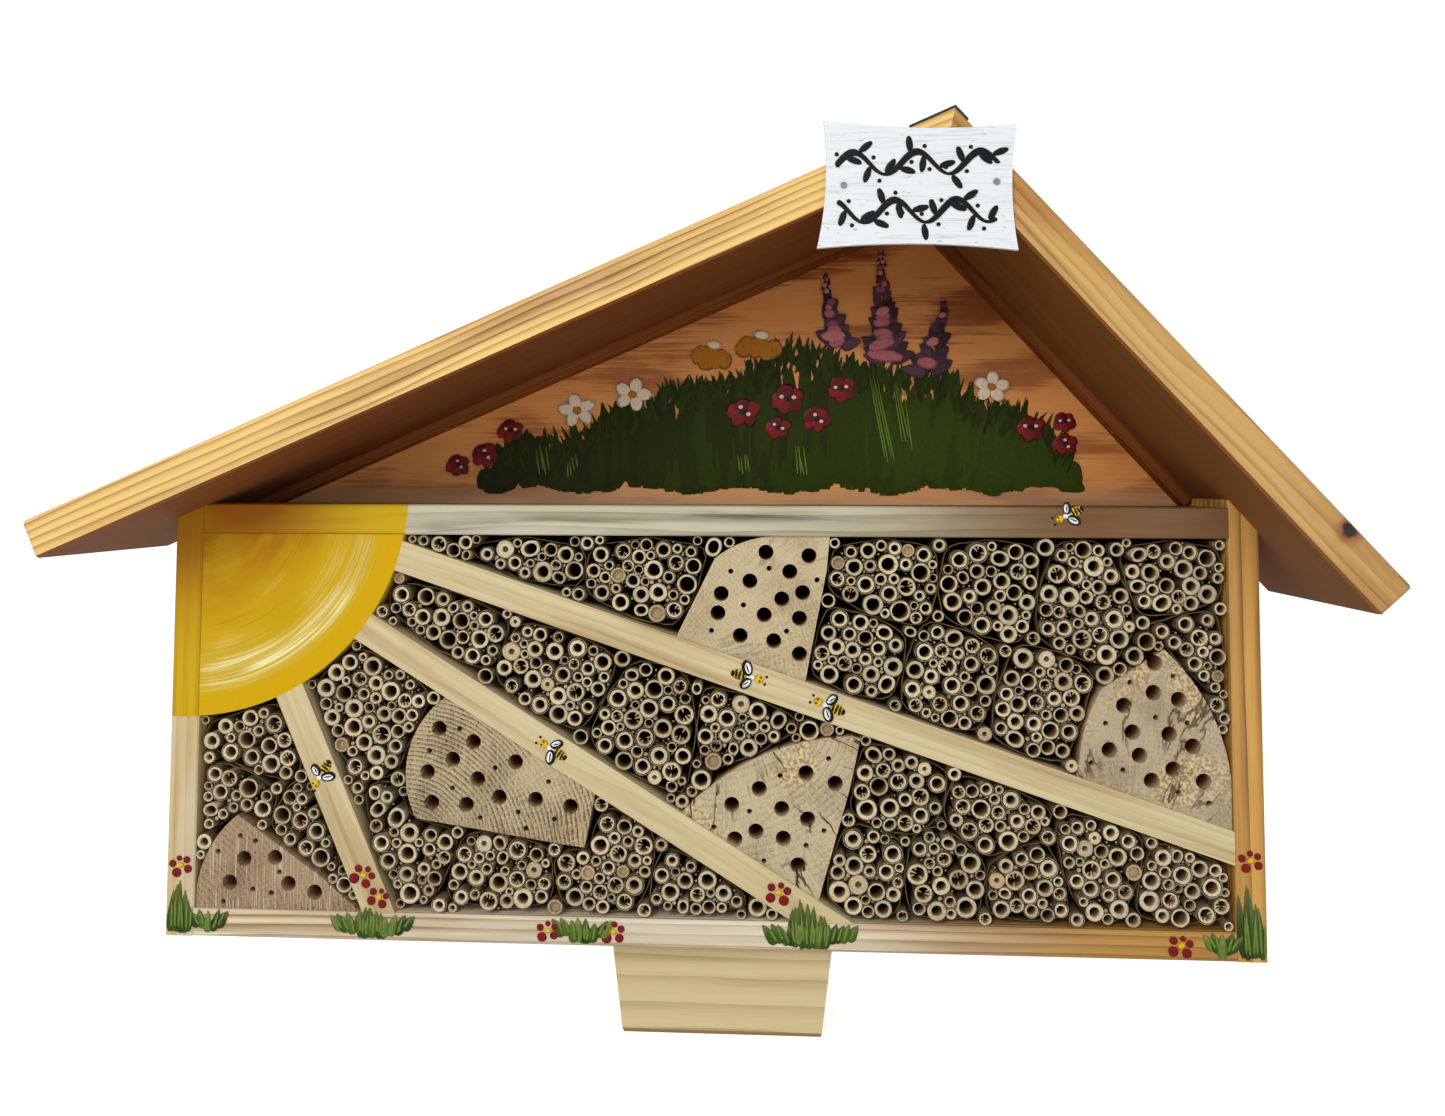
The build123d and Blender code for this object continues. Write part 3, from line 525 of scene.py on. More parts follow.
def pick_faces(shape, wanted):
    """Go into edit mode with only the wanted faces selected."""
    if bpy.context.mode != "OBJECT":
        bpy.ops.object.mode_set(mode="OBJECT")
    bpy.context.tool_settings.mesh_select_mode = (False, False, True)
    mesh = shape.data
    for kind in (mesh.vertices, mesh.edges, mesh.polygons):
        kind.foreach_set("select", [False] * len(kind))
    for face in mesh.polygons:
        face.select = wanted(face)
    bpy.ops.object.mode_set(mode="EDIT")


def looks_forward(face):
    return face.normal.y < -0.9


def step_in(width, forward):
    """Inset the picked faces and carry the new ones forward, or back where forward is below 0."""
    bpy.ops.mesh.inset(thickness=width)
    bpy.ops.transform.translate(value=(0, -forward, 0))


def sink(depth):
    bpy.ops.mesh.extrude_region_move(TRANSFORM_OT_translate={"value": (0, depth, 0)})


def reed_kind(name, steps, sinks, squeeze=1.0):
    """One kind of reed, one unit in radius and in millimetres along: its rim's steps, then its bore."""
    shape = start_shape(name, bpy.ops.mesh.primitive_cylinder_add, vertices=REED_SIDES, radius=1,
                        depth=REED_RUN, location=(0, REED_RUN / 2, 0), rotation=(math.radians(90), 0, 0))
    pick_faces(shape, looks_forward)
    for width, forward in steps:
        step_in(width, forward)
    for depth in sinks:
        sink(depth)
    pick_faces(shape, lambda face: face.center.y < 0.6 and abs(face.normal.y) > 0.1)
    bpy.ops.transform.vertex_random(offset=0.045, uniform=0, normal=0, seed=len(name))
    bpy.ops.mesh.select_all(action="SELECT")
    bpy.ops.transform.resize(value=(squeeze, 1, 1))
    bpy.ops.object.mode_set(mode="OBJECT")
    return shape


def shade_by_depth(shape, plug=None):
    """Store how deep in its bore, or how far out on its sheath, each point of a reed lies. The reed finish
    paints the bore and the rim's groove darker with depth, as painted shade, and gives the sheath and outer
    wall a darker tone.
    """
    hollow = shape.data.attributes.new("hollow", "FLOAT", "POINT")
    for spot, mark in zip(shape.data.vertices, hollow.data):
        out = math.hypot(spot.co.x, spot.co.z)
        if out > 0.93:
            mark.value = -1.0 if spot.co.y > 0.1 or out > 0.985 else -0.5
        elif out > 0.78 and spot.co.y > 1.0:
            mark.value = 0.85
        elif spot.co.y > 0.3:
            mark.value = plug if plug is not None and spot.co.y < 12 else 1 - math.exp(-spot.co.y / 8)
        else:
            mark.value = 0.0


def add_shreds(shape, shreds):
    """Torn pith: thin wedges that lean in from the bore's wall, each with its angle and its reach."""
    parts = [shape]
    for angle, reach in shreds:
        angle = math.radians(angle)
        place = (math.cos(angle) * (0.7 - reach / 2), 0.9, math.sin(angle) * (0.7 - reach / 2))
        wedge = start_shape("shred", bpy.ops.mesh.primitive_cone_add, vertices=4,
                            radius1=0.13, radius2=0.02, depth=reach,
                            location=place, rotation=(0, -math.pi / 2 - angle, 0))
        parts.append(wedge)
    join(shape.name, parts)


def join(name, parts):
    """Join objects into the first of them."""
    bpy.ops.object.select_all(action="DESELECT")
    for part in parts:
        part.select_set(True)
    bpy.context.view_layer.objects.active = parts[0]
    if len(parts) > 1:
        bpy.ops.object.join()
    parts[0].name = name
    return parts[0]


SHEATH = [(0.05, 0.1), (0.06, -1.8), (0.05, 0), (0.03, 1.8)]
# Each kind: its shape, how dark the plug in its bore is, and its share of the reeds
REED_KINDS = [
    (reed_kind("reed_plain", [(0.08, 0.25), (0.2, 0.1), (0.07, -0.35)], [5, 25]), None, 8),
    (reed_kind("reed_thin", [(0.06, 0.2), (0.13, 0.1), (0.05, -0.3)], [5, 25]), None, 5),
    (reed_kind("reed_thick", [(0.08, 0.3), (0.3, 0.15), (0.07, -0.4)], [4, 20]), None, 4),
    (reed_kind("reed_sheathed", SHEATH + [(0.16, 0.1), (0.07, -0.4)], [5, 25]), None, 7),
    (reed_kind("reed_sheathed_thick", SHEATH + [(0.26, 0.1), (0.06, -0.4)], [5, 25]), None, 3),
    (reed_kind("reed_knotted", [(0.08, 0.25), (0.18, 0.1), (0.05, -0.35)], [2.2]), 0.06, 1),
    (reed_kind("reed_pithy", [(0.07, 0.25), (0.15, 0.1),
                              (0.06, -0.6), (0.24, 0.1), (0.1, 0.2), (0.06, -0.5)], [3]), None, 1),
    (reed_kind("reed_torn", [(0.06, 0.2), (0.18, 0.1), (0.06, -0.3)], [5, 25]), None, 4),
    (reed_kind("reed_ragged", SHEATH + [(0.12, 0.1), (0.06, -0.3)], [5, 25]), None, 3),
    (reed_kind("reed_oval", [(0.07, 0.25), (0.19, 0.1), (0.06, -0.35)], [5, 25], 0.8), None, 2),
]
add_shreds(REED_KINDS[7][0], [(10, 0.35), (55, 0.6), (95, 0.4), (215, 0.5)])
add_shreds(REED_KINDS[8][0], [(0, 0.3), (40, 0.45), (130, 0.4), (170, 0.6)])
for shape, plug, share in REED_KINDS:
    shade_by_depth(shape, plug)
sliver = reed_kind("sliver", [(0.12, 0.2), (0.4, 0.3)], [])
shade_by_depth(sliver)


def tube_places(name):
    """Middle, radius and front of every separate tube in a CAD node, in the order of their places."""
    shell = bmesh.new()
    shell.from_mesh(nodes[name].data)
    bmesh.ops.remove_doubles(shell, verts=shell.verts, dist=0.01 * MM)
    found = []
    for first in shell.verts:
        if first.tag:
            continue
        first.tag = True
        reached = [first]
        for spot in reached:
            for edge in spot.link_edges:
                other = edge.other_vert(spot)
                if not other.tag:
                    other.tag = True
                    reached.append(other)
        low = [min(spot.co[axis] for spot in reached) for axis in range(3)]
        high = [max(spot.co[axis] for spot in reached) for axis in range(3)]
        found.append(((low[0] + high[0]) / 2, (low[2] + high[2]) / 2, (high[0] - low[0]) / 2, low[1]))
    shell.free()
    return sorted(found)


def copy_of(shape, matrix, **marks):
    """A copy with its own mesh, moved in its mesh, with a number or colour stored all over it."""
    mesh = shape.data.copy()
    mesh.transform(matrix)
    for mark, value in marks.items():
        kind = "FLOAT" if isinstance(value, float) else "FLOAT_COLOR"
        attribute = mesh.attributes.new(mark, kind, "POINT")
        field = "value" if kind == "FLOAT" else "color"
        values = [value] * len(mesh.vertices) if kind == "FLOAT" else list(value) * len(mesh.vertices)
        attribute.data.foreach_set(field, values)
    made = bpy.data.objects.new(shape.name, mesh)
    bpy.context.scene.collection.objects.link(made)
    return made


def stored(tree, name, output="Fac"):
    """What each point of a mesh carries under a name."""
    return add(tree, "Attribute", attribute_name=name).outputs[output]


made, tree, shader = start_material("reed_stem", Roughness=0.72, Specular_IOR_Level=0.2)
hollow = stored(tree, "hollow")
tone = stored(tree, "tone")
gold = stored(tree, "gold")
spot = here(tree)
grain = cloud(spot, (1300, 60, 1300), 3.0)
# The ramp runs from the sheath's darker tone through the pale rim to near black deep in the bore: painted
# shade in the bore and in the rim's groove.
ramp = add(tree, "ValToRGB", {"Fac": calc("MULTIPLY_ADD", hollow, 0.5, 0.5)})
stops = [(0.0, (104, 88, 60)), (0.22, (138, 120, 86)), (0.38, (194, 178, 138)), (0.5, (208, 194, 156)),
         (0.56, (178, 152, 108)), (0.66, (146, 114, 76)), (0.82, (104, 76, 50)), (1.0, (60, 42, 28))]
while len(ramp.color_ramp.elements) < len(stops):
    ramp.color_ramp.elements.new(0.5)
for element, (position, tint) in zip(ramp.color_ramp.elements, stops):
    element.position = position
    element.color = chip(*tint)
colour = blend(between(grain, 0.55, 0.75), ramp.outputs["Color"], chip(120, 96, 62), "MULTIPLY")
colour = blend(times(gold, 0.5), colour, chip(206, 170, 112), "MULTIPLY")
lit = add(tree, "HueSaturation", {"Color": colour, "Value": tone, "Saturation": 0.9}).outputs[0]
# Stems more than 12 mm behind the front, down the bores and between the reeds, are painted nearly black:
# painted shade deep in the box.
back = between(split(spot)[1], BOX_MIDDLE.y + 12 * MM, BOX_MIDDLE.y + 34 * MM)
colour = blend(times(back, 0.8), lit, chip(10, 7, 5))
surface(tree, shader, colour, grain, 0.15 * MM)
reed_finish = made

chance = random.Random(11)
kinds = [kind for kind in REED_KINDS for _ in range(kind[2])]


def gaps_between(tubes, tries, crowd, reach):
    """Places and radii for scraps of leaf and stem pushed in where a crowd of reeds stands close."""
    found = []
    for _ in range(tries):
        x, z, radius, front = chance.choice(tubes)
        angle = chance.uniform(0, 2 * math.pi)
        away = radius + chance.uniform(0.5, reach) * MM
        x, z = x + away * math.cos(angle), z + away * math.sin(angle)
        rooms = sorted(math.hypot(x - tube[0], z - tube[1]) - tube[2] * REED_SWELL for tube in tubes)
        room = min([rooms[0]] + [math.hypot(x - other[0], z - other[1]) - other[2] for other in found])
        if room > 0.35 * MM and rooms[crowd] < reach * MM:
            found.append((x, z, min(room, 1.3 * MM), front + chance.uniform(0.3, 2.5) * MM))
    return found


for name in sorted(nodes):
    if not name.startswith("reed"):
        continue
    bundle = []
    tubes = tube_places(name)
    for x, z, radius, front in tubes:
        kind = chance.choice(kinds)
        if radius < 3.4 * MM:
            kind = chance.choice(kinds[:SLIM_KINDS])
        matrix = (Matrix.Translation((x, front, z))
                  @ Matrix.Rotation(chance.uniform(0, 2 * math.pi), 4, "Y")
                  @ Matrix.Diagonal((radius * REED_SWELL, MM, radius * REED_SWELL, 1)))
        bundle.append(copy_of(kind[0], matrix, tone=chance.uniform(0.8, 1.15),
                              gold=1.0 if kind[1] is not None else max(0.0, chance.gauss(0.1, 0.3))))
    for x, z, radius, front in gaps_between(tubes, 40 * len(tubes), 2, 2.0):
        matrix = Matrix.Translation((x, front, z)) @ Matrix.Diagonal((radius, 0.4 * MM, radius, 1))
        bundle.append(copy_of(sliver, matrix, tone=chance.uniform(0.45, 0.85), gold=0.3))
    if name != "reeds_loose":
        for x, z, radius, front in gaps_between(tubes, 10 * len(tubes), 1, 2.2):
            tilt = (Matrix.Rotation(chance.uniform(-0.3, 0.3), 4, "X")
                    @ Matrix.Rotation(chance.uniform(-0.3, 0.3), 4, "Z"))
            matrix = (Matrix.Translation((x, front + 2 * MM, z)) @ tilt
                      @ Matrix.Diagonal((0.5 * radius, 0.1 * MM, 0.5 * radius, 1)))
            bundle.append(copy_of(sliver, matrix, tone=chance.uniform(0.5, 0.9), gold=0.2))
    reeds = join(name.replace("reed", "stem"), bundle)
    reeds.data.materials.clear()
    reeds.data.materials.append(reed_finish)
    bpy.ops.object.shade_smooth_by_angle(angle=math.radians(50))
    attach(reeds, "root")
    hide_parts(name)
for shape in [kind[0] for kind in REED_KINDS] + [sliver]:
    bpy.data.objects.remove(shape)

made, tree, shader = start_material("split_leaf", Roughness=0.7, Specular_IOR_Level=0.2)
spot = here(tree)
fibres = cloud(spot, (120, 900, 120), 3.0)
leaf = blend(fibres, chip(142, 120, 82), chip(66, 50, 30))
# Leaf more than 3 mm behind the front is painted nearly black: painted shade between the reeds.
back = between(split(spot)[1], BOX_MIDDLE.y + 3 * MM, BOX_MIDDLE.y + 18 * MM)
surface(tree, shader, blend(times(back, 0.8), leaf, chip(20, 14, 10)), fibres)
dress(made, "bundle_wraps")


# ---------------------------------------------------------------- painted flowers and grass
# Thick hobby paint is dabbed on by hand with a round brush: red dots round a yellow one make the
# flowers, and short upward strokes of green make the tufts along the bottom of the box.

PAINT_LIFT = 0.15 * MM


def dab_of_paint(name, seed):
    """A round blob of paint, one unit in radius and thickness, with an unsteady outline."""
    shape = start_shape(name, bpy.ops.mesh.primitive_cylinder_add, vertices=14,
                        radius=0.94, depth=1, location=(0, -0.5, 0), rotation=(math.radians(90), 0, 0))
    pick_faces(shape, lambda face: abs(face.normal.y) < 0.5)
    bpy.ops.transform.vertex_random(offset=0.09, uniform=0, normal=0, seed=seed)
    bpy.ops.object.mode_set(mode="OBJECT")
    pick_faces(shape, looks_forward)
    step_in(0.14, 0.3)
    step_in(0.3, 0.15)
    bpy.ops.object.mode_set(mode="OBJECT")
    edge = shape.data.attributes.new("edge", "FLOAT", "POINT")
    edge.data.foreach_set("value",
                          [1.0 if math.hypot(v.co.x, v.co.z) > 0.8 else 0.0 for v in shape.data.vertices])
    shape.data.attributes.new("tip", "FLOAT", "POINT")
    return shape


def brush_stroke(name, lean, rises):
    """An upward stroke one unit high: round where the brush is pressed down, drawn out to a point."""
    shape = start_shape(name, bpy.ops.mesh.primitive_cylinder_add,
                        vertices=6, radius=0.25, depth=0.02, location=(0, 0, 0.01))
    pick_faces(shape, lambda face: face.normal.z > 0.9)
    for step, (rise, grow) in enumerate(rises):
        bpy.ops.mesh.extrude_region_move(TRANSFORM_OT_translate={"value": (lean * step * 0.03, 0, rise)})
        bpy.ops.transform.resize(value=(grow, grow, 1))
    bpy.ops.object.mode_set(mode="OBJECT")
    edge = shape.data.attributes.new("edge", "FLOAT", "POINT")
    tip = shape.data.attributes.new("tip", "FLOAT", "POINT")
    middle = [spot.co.x for spot in shape.data.vertices]
    for spot, mark, end in zip(shape.data.vertices, edge.data, tip.data):
        level = [x for x, other in zip(middle, shape.data.vertices) if abs(other.co.z - spot.co.z) < 0.004]
        centre = sum(level) / len(level)
        mark.value = 1.0 if abs(spot.co.x - centre) > 0.02 else 0.0
        end.value = spot.co.z
    return shape


DABS = [dab_of_paint(f"dab_{seed}", seed) for seed in (1, 2, 3)]
ROUND_STROKE = [(0.06, 1.7), (0.10, 1.25), (0.22, 1.0), (0.24, 0.8), (0.2, 0.62), (0.16, 0.2)]
STROKES = [brush_stroke(f"stroke_{number}", lean, ROUND_STROKE)
           for number, lean in enumerate((-1.6, -0.6, 0.0, 0.6, 1.6))]
dabbing = random.Random(23)
vary = dabbing.uniform


def dab(x, z, wide, high, colour, turn=0.0, layer=1, y=0.0, thick=0.35):
    """A dab of paint centred on a point of the front, with its half width and half height."""
    matrix = (Matrix.Translation(on_box(x, z, y)) @ Matrix.Translation((0, -PAINT_LIFT * layer, 0))
              @ Matrix.Rotation(-math.radians(turn), 4, "Y")
              @ Matrix.Diagonal((wide * MM, thick * MM, high * MM, 1)))
    return copy_of(dabbing.choice(DABS), matrix, paint=colour)


def stroke(x, z, wide, high, colour, turn=0.0, layer=1, y=0.0, kind=None):
    """A stroke of paint upwards from a point of the front."""
    shape = dabbing.choice(STROKES) if kind is None else STROKES[kind]
    matrix = (Matrix.Translation(on_box(x, z, y)) @ Matrix.Translation((0, -PAINT_LIFT * layer, 0))
              @ Matrix.Rotation(-math.radians(turn), 4, "Y")
              @ Matrix.Diagonal((wide * MM, 0.5 * MM, high * MM, 1)))
    return copy_of(shape, matrix, paint=colour)


def paint_finish(name, darken, fade, **sockets):
    """Brushed hobby paint: darker where it pooled at the edges of a dab, thin at the end of a stroke."""
    made, tree, shader = start_material(name, **sockets)
    colour = stored(tree, "paint", "Color")
    edge = stored(tree, "edge")
    tip = stored(tree, "tip")
    ridges = cloud(here(tree), (1400, 1400, 260), 2.0)
    pooled = times(between(edge, 0.35, 1.0), darken)
    colour = blend(pooled, colour, chip(70, 70, 70), "MULTIPLY")
    colour = blend(times(between(tip, 0.35, 1.0), fade), colour, chip(164, 166, 96))
    colour = blend(times(between(ridges, 0.5, 0.7), 0.3), colour, chip(120, 120, 110), "MULTIPLY")
    surface(tree, shader, colour, ridges, 0.15 * MM)
    return made


def finish_piece(name, parts, finish):
    """Join a painted motif, give it its finish and fix it to the box."""
    piece = join(name, parts)
    piece.data.materials.clear()
    piece.data.materials.append(finish)
    bpy.ops.object.shade_smooth_by_angle(angle=math.radians(60))
    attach(piece, "root")
    return piece


dab_finish = paint_finish("hobby_paint", 0.55, 0.0, Roughness=0.35, Specular_IOR_Level=0.2)
grass_finish = paint_finish("grass_paint", 0.5, 0.25, Roughness=0.45, Specular_IOR_Level=0.2)

CRIMSON = chip(130, 10, 14)
BUTTER = chip(232, 184, 12)
FLOWERS = [(-331, 44, 0.95), (-213, 40, 1.0), (-203, 27, 0.85), (-96, 9, 0.9), (-55, 9, 0.95),
           (47, 35, 1.0), (331, 60, 0.95), (289, 9, 0.95)]
PETAL_DOTS = [(20, 2.3), (80, 2.1), (150, 2.5), (225, 3.3), (310, 3.0)]
for number, (x, z, size) in enumerate(FLOWERS, start=1):
    twist = vary(-25, 25)
    parts = [dab(x, z, 2.2 * size, 1.9 * size, BUTTER, layer=2)]
    for angle, radius in PETAL_DOTS:
        angle = math.radians(angle + twist)
        radius *= size * vary(0.9, 1.12)
        away = 3.0 * size + radius
        parts.append(dab(x + away * math.cos(angle), z + 0.9 * away * math.sin(angle),
                         radius, radius, CRIMSON))
    finish_piece(f"red_flower_{number}", parts, dab_finish)

GREENS = [chip(76, 104, 30), chip(54, 84, 20), chip(104, 130, 48), chip(40, 66, 16)]
# Each tuft: the ends of its low row on the bottom board, then the ends of its tall row and how high
# that rises on the board or the ray behind
TUFTS = [(-322, -303, -337, -325, 38), (-230, -184, -214, -200, 22),
         (-90, -58, -76, -70, 16), (42, 93, 55, 76, 32), (305, 321, 326, 337, 48)]
for number, (left, right, tall_left, tall_right, tall) in enumerate(TUFTS, start=1):
    parts = []
    blades = round((tall_right - tall_left) / 2.2)
    for step in range(blades + 1):
        x = tall_left + (tall_right - tall_left) * step / blades
        rise = tall * (1 - 0.45 * abs(step - 0.3 * blades) / blades) * vary(0.85, 1.0)
        foot = vary(1.0, 3.0)
        parts.append(stroke(x, foot, vary(4.6, 6.4), rise - foot, dabbing.choice(GREENS[1:2] + GREENS[3:]),
                            turn=vary(-5, 5), layer=1 + step % 2, kind=2))
        parts.append(stroke(x + 1.2, foot + 3, 1.8, (rise - foot) * 0.6, GREENS[2],
                            turn=vary(-5, 5), layer=4, kind=2))
    blades = round((right - left) / 4.4)
    for step in range(blades + 1):
        spread = step / blades - 0.5
        x = left + 3 + (right - left - 6) * step / blades
        foot = vary(0.8, 4.2) + 5 * abs(spread)
        rise = min(vary(11.5, 15.0), 17.6 - foot)
        turn = -46 * spread + vary(-8, 8)
        green = dabbing.choice(GREENS)
        parts.append(stroke(x, foot, vary(5.2, 7.0), rise, green,
                            turn=turn, layer=2 + step % 3, kind=round(2 + 2 * spread)))
        parts.append(stroke(x + 0.8, foot + 2, 2.0, rise * 0.66, GREENS[2],
                            turn=turn, layer=5, kind=round(2 + 2 * spread)))
    finish_piece(f"grass_tuft_{number}", parts, grass_finish)


# ---------------------------------------------------------------- painted bees
# Five honey bees in the same paint sit on the rail and the rays: a striped body, a yellow head
# with dots for eyes and feelers, and two white wings outlined in black.

INK = chip(12, 12, 14)
CHALK = chip(240, 240, 238)
# Each bee: its place, the way it heads in degrees, its size and its wings' swing
BEES = [(225, 267, 205, 0.9, 8), (29, 166, -12, 1.0, -6), (77, 149, 158, 1.0, 6),
        (-95, 120, 148, 0.95, -8), (-242, 101, 238, 0.95, 8)]
# Each mark: its centre, half width, half height, colour, turn and layer, on a bee that heads right
BEE_MARKS = [
    (-6.6, 0.0, 5.0, 3.4, BUTTER, 0, 1),
    (-10.6, 0.0, 1.3, 2.0, INK, 0, 2), (-8.4, 0.2, 0.9, 3.1, INK, 6, 2), (-6.2, 0.0, 0.9, 3.3, INK, -4, 2),
    (-4.0, 0.1, 0.8, 2.8, INK, 5, 2), (0.6, 0.0, 3.0, 2.0, CHALK, 0, 1),
    (-2.6, 4.9, 3.5, 5.3, INK, 30, 2), (-2.0, 5.0, 2.0, 3.9, CHALK, 30, 3),
    (-2.3, 4.8, 0.5, 2.8, INK, 34, 4),
    (-1.6, -4.4, 3.1, 4.7, INK, -32, 2), (-1.0, -4.5, 1.7, 3.4, CHALK, -32, 3),
    (-1.4, -4.4, 0.45, 2.3, INK, -38, 4),
    (6.0, 0.0, 2.9, 2.8, BUTTER, 0, 3),
    (6.9, 1.1, 0.75, 0.75, INK, 0, 4), (6.6, -1.2, 0.75, 0.75, INK, 0, 4),
    (10.4, 2.2, 0.9, 0.9, INK, 0, 1), (10.1, -2.5, 0.9, 0.9, INK, 0, 1),
]
for number, (x, z, heading, size, swing) in enumerate(BEES, start=1):
    cos, sin = math.cos(math.radians(heading)), math.sin(math.radians(heading))
    parts = []
    for right, up, wide, high, colour, turn, layer in BEE_MARKS:
        turn += heading + (swing if abs(up) > 4 else 0)
        parts.append(dab(x + size * (right * cos - up * sin), z + size * (right * sin + up * cos),
                         size * wide, size * high, colour, turn=turn, layer=layer, thick=0.3))
    finish_piece(f"painted_bee_{number}", parts, dab_finish)


# ---------------------------------------------------------------- painted meadow
# A mound of grass in dark greens covers the foot of the gable, brushed upwards so that its top is
# ragged, with poppies, daisies, two ochre blooms and three lupines dabbed over it.

PANEL_Y = (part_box("back_panel")[0].y - BOX_MIDDLE.y) / MM
MOUND = [(-160, 290), (-150, 300), (-136, 314), (-110, 318), (-77, 328), (-52, 341), (-28, 355),
         (2, 358), (21, 362), (36, 370), (51, 384), (80, 379), (105, 367), (165, 362), (178, 342),
         (213, 339), (225, 331), (240, 312), (252, 294)]
MOSS = [chip(34, 40, 3), chip(38, 46, 4), chip(44, 56, 5), chip(50, 64, 7)]


def mound_top(x):
    for (x0, z0), (x1, z1) in zip(MOUND, MOUND[1:]):
        if x0 <= x <= x1:
            return z0 + (z1 - z0) * (x - x0) / (x1 - x0)
    return MOUND[0][1]


parts = []
for row, (share, pitch) in enumerate(((0.55, 3.0), (0.75, 2.6), (0.9, 2.4))):
    x = MOUND[0][0] + 4.0
    while x < MOUND[-1][0] - 3:
        wave = 5 * math.sin(x / 13) + 4 * math.sin(x / 5.3 + row)
        tall = (mound_top(x) - 283) * share + wave + vary(-3, 3)
        foot = 285 + 2.5 * math.sin(x / 11) + vary(-4.5, 4.0)
        green = MOSS[min(3, max(0, round(1.4 + x / 130 + vary(-0.6, 0.5))))]
        parts.append(stroke(x, foot, vary(10, 17), max(9, tall), green, turn=vary(-6, 6) - x / 40,
                            layer=1 + (row + round(x)) % 3, y=PANEL_Y, kind=dabbing.choice((1, 2, 3))))
        x += pitch * vary(0.7, 1.3)
for _ in range(520):
    x = vary(-156, 244)
    blade = vary(10, 24) * min(1.0, (mound_top(x) - 280) / 40)
    parts.append(stroke(x, mound_top(x) - blade * vary(0.45, 1.0) - 2, vary(1.8, 4.2), blade,
                        dabbing.choice(MOSS[:3]), turn=vary(-32, 32) - x / 25, layer=3, y=PANEL_Y))
for x, low, high in ((-120, 290, 308), (-100, 290, 300), (120, 300, 360),
                     (132, 310, 350), (20, 288, 300), (60, 292, 312)):
    for hair in range(4):
        parts.append(stroke(x + hair * 2.2, low + vary(0, 8), 1.0, high - low, chip(96, 120, 44),
                            turn=vary(4, 14), layer=6, y=PANEL_Y, kind=3))
meadow_finish = paint_finish("meadow_paint", 0.1, 0.0, Roughness=0.35, Specular_IOR_Level=0.08)
finish_piece("painted_grass", parts, meadow_finish)

POPPY = [chip(120, 12, 14), chip(92, 8, 12), chip(132, 16, 18)]
POPPIES = [(-178, 299, 0.85), (-159, 306, 0.95), (-141, 323, 0.9), (22, 336, 1.15), (53, 345, 1.15),
           (46, 325, 0.9), (73, 331, 1.0), (90, 352, 1.0), (219, 325, 1.0), (242, 329, 0.8),
           (242, 314, 0.85)]
parts = []
for x, z, size in POPPIES:
    twist = vary(0, 72)
    parts.append(dab(x, z, 8.0 * size, 6.0 * size, POPPY[0], layer=5, y=PANEL_Y, thick=0.6))
    for step in range(5):
        angle = math.radians(twist + 72 * step)
        parts.append(dab(x + 5.2 * size * math.cos(angle), z + 3.8 * size * math.sin(angle),
                         6.4 * size * vary(0.85, 1.1), 4.8 * size * vary(0.85, 1.1), POPPY[step % 3],
                         turn=math.degrees(angle) / 3, layer=6 + step % 2, y=PANEL_Y, thick=0.6))
    parts.append(dab(x, z, 2.6 * size, 2.2 * size, chip(40, 10, 12), layer=10, y=PANEL_Y))
    shine = vary(-0.9, 0.5)
    for side in (0, 2.4):
        parts.append(dab(x + 4.0 * size * math.cos(shine + side), z + 3.0 * size * math.sin(shine + side),
                         1.5 * size, 1.3 * size, chip(230, 190, 180), layer=11, y=PANEL_Y))
finish_piece("painted_poppies", parts, dab_finish)

PETAL = chip(226, 206, 178)
OCHRE = chip(176, 108, 6)
parts = []
for x, z, size in ((-94, 337, 1.0), (-55, 348, 1.0), (193, 353, 0.95)):
    twist = vary(-20, 20)
    for step in range(5):
        angle = math.radians(twist + 90 + 72 * step)
        parts.append(dab(x + 7.6 * size * math.cos(angle), z + 6.2 * size * math.sin(angle),
                         6.0 * size, 4.6 * size, PETAL,
                         turn=math.degrees(angle) + vary(-15, 15), layer=9, y=PANEL_Y, thick=0.5))
    parts.append(dab(x, z, 3.4 * size, 3.2 * size, OCHRE, layer=11, y=PANEL_Y))
for x, z, wide in ((0, 375, 13), (33, 382, 15)):
    for step in range(9):
        parts.append(dab(x + (step - 4) / 4 * 0.7 * wide, z + vary(-4, 2) - 0.08 * abs(step - 4),
                         wide * 0.42, 6.6, OCHRE, turn=vary(-20, 20), layer=4, y=PANEL_Y, thick=0.2))
    parts.append(dab(x + 2, z + 7.5, 5.6, 3.0, PETAL, turn=-12, layer=7, y=PANEL_Y))
finish_piece("painted_daisies", parts, dab_finish)

PLUM = [chip(54, 30, 36), chip(82, 48, 60), chip(66, 40, 52)]
ROSE = [chip(168, 92, 96), chip(126, 72, 88), chip(186, 110, 108)]
